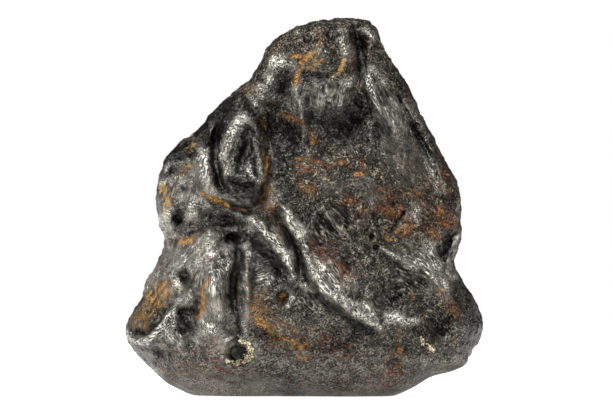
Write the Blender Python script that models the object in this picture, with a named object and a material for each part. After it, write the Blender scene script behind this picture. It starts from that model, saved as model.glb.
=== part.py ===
"""An iron meteorite: one stone, standing on its broad end, with the knob, ridges and thumbprint
hollows that melting in flight left on it.

The stone is a cube whose grid is rounded into a pillow that fills the front outline. Named
landforms then move its front and back straight out or in, and noise moves the flanks. Lengths are
in millimetres until the mesh is written. X runs to the right, Z up, and the front faces -Y.
"""

import bmesh
import bpy
import numpy as np

MM = 0.001

# The stone as a whole
FRONT_DEPTH = (19.0, 7.5)  # reach towards the front, low down and at the crown
BACK_DEPTH = (17.0, 7.0)  # reach towards the back, low down and at the crown
TAPER = (12.0, 62.0)  # heights between which the depth shrinks
ROUNDNESS = (2.3, 3.8)  # exponent of the pillow's edge at the crown, and at the foot, which is squarer
RIM_SWAY = 1.6  # how far the rim leaves one plane
CORE_HEIGHT = 27.1  # height of the point that the outline is measured from
UNDERCUT = (9.0, 3.2)  # below this height the front draws back, by this much at the foot
FOOT_TRIM = 0.7  # what the flat resting face takes off the lowest point
CALM_FOOT = (1.0, 7.0)  # heights between which the noise reaches its full size
VIEWPOINT = (0.3, -1088.0, 30.5)  # where the front's landforms are laid out from

# The sculpting grid and the solid's facets
GRID = 100  # cells along each side of the cube
FRONT_CROWDING = 0.22  # how much denser the grid is on the front
FACETS = 9000  # triangles in the finished solid
BLOCK = 100.0  # side of the block that cuts the foot
FRONT, BACK = -1, 1

# The front outline, clockwise from the left end of the crown, as (x, z)
OUTLINE = (
    (0.6, 59.6), (2.9, 60.1), (5.1, 60.1), (7.7, 60.1), (10.2, 59.9), (11.5, 59.0), (12.0, 57.0),
    (13.8, 53.5), (15.8, 51.0),
    (17.0, 48.4), (18.6, 44.7), (20.6, 41.2), (22.7, 37.0), (24.2, 34.5), (25.1, 31.1), (25.0, 27.9),
    (25.1, 26.0),
    (24.5, 23.1), (23.7, 21.2), (24.5, 19.6), (25.6, 17.4), (27.4, 15.0), (28.3, 12.7), (28.6, 10.8),
    (28.0, 8.4), (26.6, 7.1),
    (25.9, 4.7), (23.7, 3.8), (20.2, 3.0), (17.4, 1.2), (13.4, -0.4), (6.6, -0.6), (0.2, -0.4),
    (-5.4, -0.4),
    (-12.6, -0.6), (-18.2, 0.1), (-22.2, 2.0), (-24.3, 4.1), (-26.2, 6.0), (-28.0, 8.1), (-28.6, 10.5),
    (-27.8, 12.9),
    (-25.9, 15.1), (-25.1, 18.2), (-23.7, 20.6), (-22.4, 23.1), (-22.2, 25.4), (-23.5, 28.9),
    (-23.4, 32.7), (-22.7, 35.9),
    (-21.9, 38.5), (-19.5, 40.7), (-17.0, 42.0), (-14.7, 45.0), (-11.5, 47.9), (-8.5, 50.2), (-7.0, 53.2),
    (-5.4, 55.8),
    (-3.2, 57.7), (-1.1, 58.8),
)

# Landforms, laid out as they are seen from the front.
# A spot is (x, z), half width, half height, lean in degrees, and depth or height.
FRONT_HOLLOWS = (
    ((7.7, 43.9), 7.4, 5.6, -12, 3.2),
    ((-3.4, 47.8), 2.6, 4.6, 8, 1.9),
    ((-4.2, 41.7), 3.4, 4.6, 18, 3.2),
    ((9.1, 54.5), 1.7, 5.4, -6, 2.4),
    ((-13.3, 27.6), 4.6, 2.4, -12, 3.0),
    ((-11.7, 25.0), 1.9, 1.5, 0, 2.6),
    ((-6.1, 21.2), 4.4, 8.4, 34, 3.5),
    ((-2.9, 11.6), 8.8, 6.0, -12, 2.0),
    ((6.1, 9.5), 8.0, 3.6, -20, 2.0),
    ((-19.2, 18.8), 1.3, 1.9, 0, 1.3),
    ((-18.7, 12.2), 1.9, 3.6, 10, 2.2),
    ((-24.6, 15.6), 3.2, 6.4, -25, 2.7),
    ((-20.2, 28.4), 1.1, 1.8, 20, 1.7),
    ((-20.0, 35.6), 2.2, 1.6, 10, 1.8),
    ((-17.4, 26.6), 1.7, 1.5, 0, 1.4),
    ((5.4, 27.6), 6.0, 3.2, 40, 1.6),
    ((17.3, 36.7), 4.2, 8.0, 25, 1.2),
    ((20.0, 12.4), 4.6, 5.6, 0, 2.7),
    ((23.4, 23.4), 1.0, 2.4, -22, 2.3),
    ((14.1, 29.8), 4.0, 3.6, 0, 1.1),
    ((14.7, 7.9), 4.4, 2.6, -10, 1.1),
    ((-9.3, 38.6), 1.4, 3.6, 2, 2.0),
    ((-10.2, 33.2), 1.7, 1.1, 0, 0.7),
    ((15.4, 16.4), 4.0, 2.6, -20, 1.4),
)
# The last number is the shoulder of a lump: 2 is a bell, more is steeper at the rim.
FRONT_LUMPS = (
    ((-10.2, 37.5), 3.7, 7.9, 4, 4.9, 3.2),
    ((-15.8, 35.9), 2.4, 5.2, -8, 3.4, 2.8),
    ((-20.3, 39.3), 2.4, 1.9, 20, 2.2, 3.0),
    ((-21.8, 30.6), 2.1, 3.4, 5, 2.0, 2.4),
    ((-17.9, 30.6), 2.2, 2.2, 0, 1.2, 2.2),
    ((-16.2, 23.1), 4.2, 3.4, 10, 3.0, 2.4),
    ((-14.4, 15.4), 2.2, 6.2, -4, 3.2, 2.4),
    ((-20.2, 21.4), 1.9, 2.0, 0, 2.1, 2.4),
    ((-18.6, 15.4), 2.2, 1.3, 0, 2.2, 2.4),
    ((-15.5, 10.2), 2.6, 1.8, -10, 2.0, 2.4),
    ((-23.0, 9.0), 4.4, 2.6, 25, 2.4, 2.4),
    ((-21.4, 4.2), 7.0, 3.0, -10, 1.0, 2.0),
    ((10.1, 57.8), 1.7, 2.0, 0, 1.5, 2.4),
    ((23.7, 31.1), 2.2, 5.6, 8, 1.2, 2.4),
    ((25.6, 11.6), 3.2, 4.6, 0, 1.5, 2.4),
    ((-4.5, 53.2), 2.4, 2.2, -30, 2.0, 2.2),
    ((-5.8, 50.0), 2.0, 2.4, 0, 1.2, 2.2),
    ((-8.0, 46.5), 1.7, 2.2, -40, 1.5, 2.4),
    ((4.5, 50.0), 5.0, 5.2, 10, 2.1, 2.2),
    ((2.2, 54.8), 5.0, 4.0, 0, 0.6, 2.0),
    ((4.2, 17.0), 4.0, 3.6, -45, 1.1, 2.0),
    ((8.6, 13.2), 3.6, 2.2, -25, 1.1, 2.0),
    ((17.4, 22.5), 4.4, 2.4, -25, 1.1, 2.0),
    ((15.4, 12.2), 3.2, 1.5, 0, 1.1, 2.2),
    ((-9.1, 16.7), 0.9, 8.0, 2, 1.1, 2.4),
    ((23.0, 18.3), 0.9, 4.6, -8, 1.2, 2.4),
)
# A ridge is its height, its half width to the left and the right of travel, and its course.
FRONT_RIDGES = (
    (2.5, 1.5, 0.55, ((-10.6, 29.4), (-8.3, 27.9), (-6.4, 26.3), (-4.6, 24.4), (-2.9, 21.8), (-1.0, 17.8))),
    (2.1, 1.8, 0.6, ((-4.0, 30.8), (-2.9, 28.9), (-1.4, 26.3), (0.5, 23.4))),
    (2.8, 3.4, 0.7, ((-1.6, 24.7), (-0.2, 22.5), (1.3, 19.6), (2.9, 16.6), (5.8, 14.5), (8.0, 12.9),
        (10.9, 11.4), (13.4, 9.7))),
    (2.4, 2.2, 0.7, ((10.2, 54.2), (10.1, 51.6), (10.6, 48.7), (11.8, 45.8), (13.3, 43.3), (15.0, 40.4))),
    (1.3, 1.6, 0.9, ((16.6, 47.8), (19.5, 41.5), (21.3, 36.7), (22.2, 31.8))),
    (2.5, 2.6, 0.7, ((11.2, 24.2), (14.1, 22.2), (17.0, 20.9), (19.7, 19.6), (21.4, 17.7), (22.6, 14.5))),
    (1.7, 0.7, 0.7, ((25.3, 26.6), (24.2, 24.6), (23.0, 22.8), (22.4, 20.6))),
    (2.7, 0.7, 1.6, ((-28.5, 9.8), (-26.9, 8.9), (-25.0, 8.9), (-23.0, 11.0), (-20.8, 14.2))),
    (1.4, 1.1, 1.1, ((-1.3, 55.1), (-1.3, 51.0), (-1.0, 47.1), (0.0, 43.3), (0.6, 39.1))),
    (0.7, 0.8, 0.8, ((2.9, 30.2), (4.3, 28.2), (6.1, 26.3), (7.7, 24.4))),
    (1.1, 0.7, 1.2, ((7.7, 50.3), (6.9, 48.4), (5.9, 46.2), (4.8, 44.2))),
    (1.0, 1.2, 0.7, ((11.8, 46.2), (14.1, 45.5), (15.7, 43.9), (17.0, 41.7))),
)
FRONT_GROOVES = (
    (2.0, 0.7, 0.7, ((-13.1, 45.2), (-14.1, 42.0), (-14.2, 37.8), (-13.4, 33.7), (-10.9, 31.1))),
    (1.6, 0.7, 0.7, ((-6.9, 45.2), (-5.8, 40.7), (-5.8, 35.6), (-6.2, 32.1), (-8.6, 29.7), (-12.5, 30.0),
        (-16.2, 31.9))),
    (0.9, 0.5, 0.5, ((-12.8, 35.0), (-10.9, 34.2), (-8.6, 33.7), (-7.0, 34.2))),
    (1.5, 0.8, 0.8, ((-5.1, 30.2), (-3.7, 27.3), (-2.1, 24.2), (-0.5, 20.2), (1.6, 15.8))),
    (0.9, 0.6, 0.6, ((13.4, 49.7), (16.0, 45.5), (18.4, 40.7), (20.5, 36.9), (21.8, 32.4))),
    (1.0, 0.5, 0.5, ((-18.1, 40.4), (-17.6, 36.7), (-16.8, 32.7))),
    (1.0, 0.4, 0.4, ((-22.4, 37.0), (-20.5, 37.5), (-18.2, 37.0))),
    (1.0, 0.5, 0.5, ((-22.1, 25.0), (-20.5, 24.7), (-18.9, 25.0), (-15.7, 26.3))),
    (1.8, 1.0, 1.0, ((-12.5, 26.0), (-10.7, 23.8), (-10.6, 20.2), (-11.5, 17.0), (-11.0, 13.5),
        (-10.1, 9.7))),
    (1.1, 0.5, 0.5, ((23.7, 27.0), (22.2, 24.7), (21.9, 22.2), (22.4, 19.9), (21.8, 17.4))),
    (0.7, 0.5, 0.5, ((0.0, 51.0), (2.9, 50.8), (5.1, 51.4), (6.6, 53.2))),
    (0.8, 0.5, 0.5, ((-27.8, 10.5), (-25.3, 10.0), (-23.4, 11.9), (-21.8, 14.5))),
    (0.8, 0.5, 0.5, ((8.3, 50.0), (8.3, 47.8), (9.0, 45.2))),
)
FRONT_PITS = (
    ((-3.4, 15.8), 0.8, 1.3),
    ((-10.4, 6.8), 2.0, 2.2),
    ((14.7, 4.6), 1.3, 0.8),
)
BACK_HOLLOWS = (
    ((-14.0, 14.0), 7.5, 6.0, 20, 2.6),
    ((2.0, 17.0), 7.0, 8.0, -15, 2.9),
    ((17.0, 14.0), 6.5, 6.5, 10, 2.4),
    ((-9.0, 29.0), 7.0, 6.0, -30, 2.6),
    ((7.0, 32.0), 6.5, 7.0, 15, 2.6),
    ((18.5, 29.0), 4.5, 6.0, 20, 2.0),
    ((2.5, 46.0), 6.0, 6.0, 0, 2.0),
    ((11.0, 49.0), 4.0, 5.0, 25, 1.4),
    ((-18.0, 36.0), 4.0, 5.0, -20, 1.6),
    ((-22.0, 8.0), 5.0, 4.0, 30, 1.5),
    ((24.0, 7.0), 4.0, 4.0, -20, 1.4),
    ((-5.0, 7.0), 5.5, 3.4, 0, 1.2),
    ((-3.0, 39.0), 3.0, 3.2, 0, 1.2),
    ((9.0, 6.5), 4.0, 3.0, 0, 1.1),
)
BACK_RIDGES = (
    (1.3, 1.6, 2.2, ((-20.0, 22.0), (-8.0, 21.0), (3.0, 26.0), (14.0, 22.0), (22.0, 20.0))),
    (1.1, 1.5, 1.8, ((-3.0, 8.0), (-4.0, 18.0), (1.0, 30.0), (-1.0, 42.0))),
)
# Unevenness without a name: (size across, height)
UNDULATION = (9.0, 0.60)
SWELLS = (4.2, 0.50)
DIMPLES = (2.0, 0.28)
HOLLOW_SHOULDER = 2.6  # how flat the hollows' floors are, and how steep their sides
WAVER = (3.0, 0.50)  # how the front's layout is shifted: size across, and shift
SEED = 7


def smooth_step(t):
    """0 below 0, 1 above 1, and an S-shaped curve, 3t^2 - 2t^3, between."""
    t = np.clip(t, 0, 1)
    return t * t * (3 - 2 * t)


def sorted_pair(keys, values):
    order = np.argsort(keys)
    return keys[order], values[order]


def rounded_outline(steps=720, spread=2.2):
    """Distance from the core to the outline at equal steps of angle: straight runs between the
    points, blurred a little with a bell so that the corners are round."""
    x, z = np.array(OUTLINE).T
    bearing = np.arctan2(z - CORE_HEIGHT, x)
    steps_at = np.arange(steps) * 2 * np.pi / steps - np.pi
    radius = np.interp(steps_at, *sorted_pair(bearing, np.hypot(x, z - CORE_HEIGHT)), period=2 * np.pi)
    reach = np.arange(-8, 9)
    kernel = np.exp(-0.5 * (reach / spread) ** 2)
    padded = np.concatenate([radius[-8:], radius, radius[:8]])
    return steps_at, np.convolve(padded, kernel / kernel.sum(), mode="valid")


OUTLINE_TABLE = rounded_outline()


def outline_radius(bearing):
    return np.interp(bearing, *OUTLINE_TABLE, period=2 * np.pi)


def pillow_point(bearing, share, depth_share, side):
    """A point of the plain stone: `share` of the way from the core to the outline, and
    `depth_share` of the way out to the front or the back."""
    radius = share * outline_radius(bearing)
    x, z = radius * np.cos(bearing), CORE_HEIGHT + radius * np.sin(bearing)
    narrowing = smooth_step((z - TAPER[0]) / (TAPER[1] - TAPER[0]))
    low = np.where(side < 0, FRONT_DEPTH[0], BACK_DEPTH[0])
    high = np.where(side < 0, FRONT_DEPTH[1], BACK_DEPTH[1])
    depth = low + (high - low) * narrowing
    drawn_back = smooth_step((UNDERCUT[0] - z) / UNDERCUT[0])
    depth = depth - np.where(side < 0, UNDERCUT[1] * drawn_back, 0)
    sway = RIM_SWAY * np.sin(2 * bearing + 0.6) * share**2
    return np.stack([x, side * depth * depth_share + sway, z], axis=-1)


def exponent(bearing):
    """The pillow's edge is squarer towards the foot."""
    downward = np.clip(-np.sin(bearing), 0, 1)
    return ROUNDNESS[0] + (ROUNDNESS[1] - ROUNDNESS[0]) * downward**2


def plain_stone(direction):
    """The plain stone's surface in each direction from its core: the direction's run along the
    outline's plane and its run across it lie on a superellipse."""
    across = np.hypot(direction[:, 0], direction[:, 2])
    bearing = np.arctan2(direction[:, 2], direction[:, 0])
    power = exponent(bearing)
    reach = (across**power + np.abs(direction[:, 1]) ** power) ** (-1 / power)
    side = np.where(direction[:, 1] < 0, FRONT, BACK)
    return pillow_point(bearing, across * reach, np.abs(direction[:, 1]) * reach, side)


def leaning_ellipse(flat, place, half_width, half_height, lean):
    """Distance from a spot's middle in the plane of the front, 1 on its rim. The spot is an ellipse
    whose tall way leans to the right by `lean` degrees."""
    turn = np.radians(lean)
    x, z = flat[:, 0] - place[0], flat[:, 2] - place[1]
    tall_way = np.cos(turn) * z + np.sin(turn) * x
    wide_way = np.cos(turn) * x - np.sin(turn) * z
    return np.hypot(wide_way / half_width, tall_way / half_height)


def swell(apart, shoulder):
    """1 in the middle of a spot, a sixth on its rim, and nothing far off: the higher the shoulder,
    the flatter its top and the steeper its side."""
    return np.exp(-1.8 * apart**shoulder)


def along_course(flat, course):
    """For each point the distance to the broken line through the course; how much it lies to the
    right of the line (1) or to its left (-1) as seen from the front; and the share of the line's
    length passed. The last two are averages over the line's pieces, the nearest counting most."""
    knots = np.array(course)
    lengths = np.linalg.norm(np.diff(knots, axis=0), axis=1)
    start = np.concatenate([[0], np.cumsum(lengths)])
    best = np.full(len(flat), np.inf)
    hand, along, weights = np.zeros((3, len(flat)))
    for first, last, length, before in zip(knots[:-1], knots[1:], lengths, start):
        run = (last - first) / length
        offset = flat[:, ::2] - first
        travel = np.clip(offset @ run, 0, length)
        distance = np.linalg.norm(offset - travel[:, None] * run, axis=1) + 0.001
        weight = distance**-6
        hand += weight * (offset[:, 0] * run[1] - offset[:, 1] * run[0]) / distance
        along += weight * (before + travel) / start[-1]
        weights += weight
        best = np.minimum(best, distance)
    return best, hand / weights, along / weights


def course_height(flat, height, left, right, course):
    """A ridge's height: a bell over the distance to its course, with its own width to each side,
    growing lower and narrower towards both ends."""
    best, hand, along = along_course(flat, course)
    ends = smooth_step(along / 0.3) * smooth_step((1 - along) / 0.3)
    width = (left + (right - left) * smooth_step(0.5 + 0.5 * hand)) * (0.45 + 0.55 * ends)
    return height * (0.12 + 0.88 * ends) * np.exp(-((best / width) ** 2))


def gradient_noise(points, size, seed):
    """Smooth noise from -1 to 1 with lumps `size` across: random slopes at the corners of a cubic
    lattice, blended inside each cell."""
    rng = np.random.default_rng(seed)
    order = np.tile(rng.permutation(256), 2)
    slopes = rng.normal(size=(256, 3))
    slopes /= np.linalg.norm(slopes, axis=1)[:, None]
    cell = np.floor(points / size)
    inside = points / size - cell
    cell = cell.astype(int)
    fade = inside**3 * (inside * (inside * 6 - 15) + 10)
    total = np.zeros(len(points))
    for corner in np.ndindex(2, 2, 2):
        at = (cell + corner) & 255
        slope = slopes[order[order[order[at[:, 0]] + at[:, 1]] + at[:, 2]]]
        weight = np.prod(np.where(corner, fade, 1 - fade), axis=1)
        total += weight * np.sum(slope * (inside - corner), axis=1)
    return 1.7 * total


def seen_from_front(points):
    """The points moved onto the plane y = 0 along their lines of sight from VIEWPOINT, straight in
    front of the stone."""
    eye = np.array(VIEWPOINT)
    seen = eye + (points - eye) * (-eye[1] / (points[:, 1] - eye[1]))[:, None]
    return seen * (1, 0, 1)


def wavering(flat, points):
    """The flat places shifted by noise, so that what is laid out on them loses its even edges."""
    sideways = gradient_noise(points, WAVER[0], SEED + 2)
    upwards = gradient_noise(points, WAVER[0], SEED + 3)
    sideways += 0.35 * gradient_noise(points, WAVER[0] / 2.7, SEED + 4)
    upwards += 0.35 * gradient_noise(points, WAVER[0] / 2.7, SEED + 5)
    return flat + WAVER[1] * np.stack([sideways, 0 * sideways, upwards], axis=-1)


def dished(flat, hollows):
    """How deep the hollows are: dishes with soft rims, blended where they overlap."""
    total = np.zeros(len(flat))
    for place, half_width, half_height, lean, depth in hollows:
        apart = leaning_ellipse(flat, place, half_width, half_height, lean)
        total += (depth * swell(apart, HOLLOW_SHOULDER)) ** 3
    return np.cbrt(total)


def front_relief(points):
    """How far each point stands out towards the front: hollows and lumps are swells of their own,
    ridges and grooves are bells along a course, and pits are round wells."""
    straight = seen_from_front(points)
    flat = wavering(straight, points)
    moved = -dished(flat, FRONT_HOLLOWS)
    for place, half_width, half_height, lean, height, rise in FRONT_LUMPS:
        apart = leaning_ellipse(flat, place, half_width, half_height, lean)
        moved += height * swell(apart, rise)
    for sign, courses in ((1, FRONT_RIDGES), (-1, FRONT_GROOVES)):
        for height, left, right, course in courses:
            moved += sign * course_height(flat, height, left, right, course)
    for place, radius, depth in FRONT_PITS:
        moved -= depth * np.exp(-(leaning_ellipse(straight, place, radius, radius, 0) ** 4))
    return moved


def back_relief(points):
    """The same for the back: hollows and ridges."""
    flat = wavering(points * (1, 0, 1), points)
    moved = -dished(flat, BACK_HOLLOWS)
    for height, left, right, course in BACK_RIDGES:
        moved += course_height(flat, height, left, right, course)
    return moved


def landforms(points, normals):
    """The way each point of the plain stone moves. What faces front or back moves straight towards
    that side, which keeps the outline; the flanks, and everything a little, move along their
    normals, by noise."""
    outward = normals[:, 1]
    faces_front, faces_back = smooth_step(-outward / 0.35), smooth_step(outward / 0.35)
    broad = UNDULATION[1] * gradient_noise(points, UNDULATION[0], SEED)
    broad += SWELLS[1] * gradient_noise(points, SWELLS[0], SEED + 6)
    towards = faces_back * (back_relief(points) + broad) - faces_front * (front_relief(points) + broad)
    calm = smooth_step((points[:, 2] - CALM_FOOT[0]) / (CALM_FOOT[1] - CALM_FOOT[0]))
    rough = DIMPLES[1] * gradient_noise(points, DIMPLES[0], SEED + 1)
    flank = smooth_step((outward + 0.1) / 0.4) * broad
    moved = (calm * (rough + flank))[:, None] * normals
    moved[:, 1] += towards
    return moved


def grid_cube(name):
    """A cube of GRID by GRID cells a side, as an object."""
    mesh = bpy.data.meshes.new(name)
    shell = bmesh.new()
    bmesh.ops.create_cube(shell, size=2)
    bmesh.ops.subdivide_edges(shell, edges=shell.edges[:], cuts=GRID - 1, use_grid_fill=True)
    shell.to_mesh(mesh)
    shell.free()
    return bpy.data.objects.new(name, mesh)


def vertex_array(mesh, source, attribute):
    values = np.empty(len(source) * 3, np.float32)
    source.foreach_get(attribute, values)
    return values.reshape(-1, 3).astype(float)


def write_vertices(mesh, points):
    mesh.vertices.foreach_set("co", points.astype(np.float32).ravel())
    mesh.update()


def directions(cube_points):
    """The way each cube point looks from the core, evenly spread, and crowded towards the front."""
    spread = np.tan(cube_points * np.pi / 4)
    spread /= np.linalg.norm(spread, axis=1)[:, None]
    spread[:, 1] -= FRONT_CROWDING
    return spread / np.linalg.norm(spread, axis=1)[:, None]


def sculpt_stone(stone):
    mesh = stone.data
    points = plain_stone(directions(vertex_array(mesh, mesh.vertices, "co")))
    write_vertices(mesh, points)
    points += landforms(points, vertex_array(mesh, mesh.vertex_normals, "vector"))
    points[:, 2] -= points[:, 2].min() + FOOT_TRIM
    points[:, :2] -= (points[:, :2].max(axis=0) + points[:, :2].min(axis=0)) / 2
    write_vertices(mesh, points * MM)
    mesh.shade_smooth()


def crust_material():
    """The dark, half glossy fusion crust."""
    material = bpy.data.materials.new("fusion_crust")
    material.use_nodes = True
    shader = material.node_tree.nodes["Principled BSDF"]
    shader.inputs["Base Color"].default_value = (0.045, 0.038, 0.032, 1)
    shader.inputs["Metallic"].default_value = 0.5
    shader.inputs["Roughness"].default_value = 0.42
    return material


def simplify(stone):
    """Fewer, larger facets where the stone is smooth."""
    modifier = stone.modifiers.new("facets", "DECIMATE")
    modifier.ratio = FACETS / (12 * GRID**2)


def cut_foot(stone, collection):
    """Cuts the flat face that the stone rests on, with a block under the floor's height."""
    bpy.ops.mesh.primitive_cube_add(size=1, location=(0, 0, -BLOCK / 2 * MM))
    block = bpy.context.active_object
    block.name = "foot_cutter"
    block.scale = (BLOCK * MM,) * 3
    block.hide_render = True
    block.display_type = "WIRE"
    for home in list(block.users_collection):
        home.objects.unlink(block)
    collection.objects.link(block)
    modifier = stone.modifiers.new("foot", "BOOLEAN")
    modifier.operation = "DIFFERENCE"
    modifier.object = block


def main():
    for old in list(bpy.data.objects):
        bpy.data.objects.remove(old)
    collection = bpy.data.collections.new("Meteorite")
    bpy.context.scene.collection.children.link(collection)
    stone = grid_cube("meteorite")
    collection.objects.link(stone)
    sculpt_stone(stone)
    stone.data.materials.append(crust_material())
    simplify(stone)
    cutters = bpy.data.collections.new("Cutters")
    bpy.context.scene.collection.children.link(cutters)
    cut_foot(stone, cutters)


main()
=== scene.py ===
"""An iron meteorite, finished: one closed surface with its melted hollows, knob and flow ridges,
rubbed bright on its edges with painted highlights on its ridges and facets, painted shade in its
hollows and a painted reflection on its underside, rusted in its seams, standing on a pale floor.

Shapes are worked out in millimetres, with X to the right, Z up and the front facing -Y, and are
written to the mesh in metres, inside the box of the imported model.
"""
import math
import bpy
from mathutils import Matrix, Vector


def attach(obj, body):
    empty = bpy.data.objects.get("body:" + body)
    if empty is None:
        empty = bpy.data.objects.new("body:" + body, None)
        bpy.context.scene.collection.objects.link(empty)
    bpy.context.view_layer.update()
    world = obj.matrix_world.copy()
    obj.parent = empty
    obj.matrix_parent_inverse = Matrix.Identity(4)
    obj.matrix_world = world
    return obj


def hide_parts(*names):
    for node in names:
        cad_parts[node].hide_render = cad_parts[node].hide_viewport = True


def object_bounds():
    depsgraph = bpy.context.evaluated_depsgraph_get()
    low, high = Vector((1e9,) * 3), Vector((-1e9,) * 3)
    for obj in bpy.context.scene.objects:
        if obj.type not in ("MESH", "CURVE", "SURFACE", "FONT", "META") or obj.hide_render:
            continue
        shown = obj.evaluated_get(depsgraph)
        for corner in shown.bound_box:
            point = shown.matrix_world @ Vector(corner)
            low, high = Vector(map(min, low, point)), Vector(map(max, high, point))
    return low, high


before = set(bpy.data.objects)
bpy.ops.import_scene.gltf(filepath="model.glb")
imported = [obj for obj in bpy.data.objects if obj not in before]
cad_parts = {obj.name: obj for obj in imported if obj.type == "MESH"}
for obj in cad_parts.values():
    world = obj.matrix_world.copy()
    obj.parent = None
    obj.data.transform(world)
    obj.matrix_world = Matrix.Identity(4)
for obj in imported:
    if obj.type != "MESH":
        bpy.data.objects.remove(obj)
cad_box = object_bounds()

from types import SimpleNamespace

import bpy
import numpy as np
from mathutils import Vector

MM = 0.001
CELLS = 128  # squares along each side of the cube that is rounded into the stone
FRONT_CROWDING = 0.45  # how much denser those squares are on the front
# Where the camera stands, and where the front's forms and tints are laid out from
VIEWPOINT = (0.3, -1088.0, 30.5)
VIEW_WIDTH = 97.9  # width of the camera's view at the stone's middle plane
STONE_SHIFT = (0.04, 2.51, 0.04)  # from the outline's frame to the finished stone's
LIGHT_AIM = (0, 0, 0.03)  # the middle of the stone, in metres
FLOOR_RADIUS = 0.7  # in metres

# The stone as a whole
FRONT_DEPTH = (19.0, 7.5)  # reach towards the front, low down and at the crown
BACK_DEPTH = (17.0, 7.0)  # reach towards the back, low down and at the crown
TAPER = (12.0, 62.0)  # heights between which the depth shrinks
ROUNDNESS = (2.3, 3.8)  # exponent of the pillow's edge at the crown, and at the foot, which is squarer
RIM_SWAY = 1.6  # how far the rim leaves one plane
CORE_HEIGHT = 27.1  # height of the point that the outline is measured from
UNDERCUT = (9.0, 3.2)  # below this height the front draws back, by this much at the foot
FOOT_TRIM = 0.7  # what the flat resting face takes off the lowest point
# Heights between which the noise along the normals and the fine forms reach their full size
CALM_FOOT = (1.0, 7.0)

# Flow lines, grain and tints
LINE_SIZE = 0.85  # size across of the noise that the flow lines come from
LINE_SHARPNESS = 2.6  # how steeply a line falls away from its crest
LINE_SHORTENING = 5 / 6  # share of a flow's run taken out of that noise, which makes it six times longer
GRAIN_SHORTENING = 0.80  # the same for the grain
GRAINS = ((1.3, 0.15), (0.8, 0.10), (0.5, 0.06))  # size across, and height
CREASES = (1.9, 0.22)  # size across, and depth
SMOOTHINGS = (3, 16, 60)  # rounds of smoothing that fine, middling and broad relief stand out from
FINE_SEED, TINT_SEED, LINE_SEED = 21, 31, 50  # each noise of a kind takes the next number

# The front outline, clockwise from the left end of the crown, as (x, z)
OUTLINE = (
    (0.6, 59.6), (2.9, 60.1), (5.1, 60.1), (7.7, 60.1), (10.2, 59.9), (11.5, 59.0), (12.0, 57.0),
    (13.8, 53.5), (15.8, 51.0), (17.0, 48.4), (18.6, 44.7), (20.6, 41.2), (22.7, 37.0), (24.2, 34.5),
    (25.1, 31.1), (25.0, 27.9), (25.1, 26.0), (24.5, 23.1), (23.7, 21.2), (24.5, 19.6), (25.6, 17.4),
    (27.4, 15.0), (28.3, 12.7), (28.6, 10.8), (28.0, 8.4), (26.6, 7.1), (25.9, 4.7), (23.7, 3.8), (20.2, 3.0),
    (17.4, 1.2), (13.4, -0.4), (6.6, -0.6), (0.2, -0.4), (-5.4, -0.4), (-12.6, -0.6), (-18.2, 0.1),
    (-22.2, 2.0), (-24.3, 4.1), (-26.2, 6.0), (-28.0, 8.1), (-28.6, 10.5), (-27.8, 12.9), (-25.9, 15.1),
    (-25.1, 18.2), (-23.7, 20.6), (-22.4, 23.1), (-22.2, 25.4), (-23.5, 28.9), (-23.4, 32.7), (-22.7, 35.9),
    (-21.9, 38.5), (-19.5, 40.7), (-17.0, 42.0), (-14.7, 45.0), (-11.5, 47.9), (-8.5, 50.2), (-7.0, 53.2),
    (-5.4, 55.8), (-3.2, 57.7), (-1.1, 58.8),
)

# Landforms. A spot is (x, z), half width, half height, lean in degrees, and depth or height.
FRONT_HOLLOWS = (
    ((7.7, 43.9), 7.4, 5.6, -12, 3.2), ((-3.4, 47.8), 2.6, 4.6, 8, 1.9), ((-4.2, 41.7), 3.4, 4.6, 18, 3.2),
    ((9.1, 54.5), 1.7, 5.4, -6, 2.4), ((-13.3, 27.6), 4.6, 2.4, -12, 3.0), ((-11.7, 25.0), 1.9, 1.5, 0, 2.6),
    ((-6.1, 21.2), 4.4, 8.4, 34, 3.5), ((-2.9, 11.6), 8.8, 6.0, -12, 2.0), ((6.1, 9.5), 8.0, 3.6, -20, 2.0),
    ((-19.2, 18.8), 1.3, 1.9, 0, 1.3), ((-18.7, 12.2), 1.9, 3.6, 10, 2.2),
    ((-24.6, 15.6), 3.2, 6.4, -25, 2.7), ((-20.2, 28.4), 1.1, 1.8, 20, 1.7),
    ((-20.0, 35.6), 2.2, 1.6, 10, 1.8), ((-17.4, 26.6), 1.7, 1.5, 0, 1.4), ((5.4, 27.6), 6.0, 3.2, 40, 1.6),
    ((17.3, 36.7), 4.2, 8.0, 25, 1.2), ((20.0, 12.4), 4.6, 5.6, 0, 2.7), ((23.4, 23.4), 1.0, 2.4, -22, 2.3),
    ((14.1, 29.8), 4.0, 3.6, 0, 1.1), ((14.7, 7.9), 4.4, 2.6, -10, 1.1), ((-9.3, 38.6), 1.4, 3.6, 2, 2.0),
    ((-10.2, 33.2), 1.7, 1.1, 0, 0.7), ((15.4, 16.4), 4.0, 2.6, -20, 1.4),
)
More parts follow.
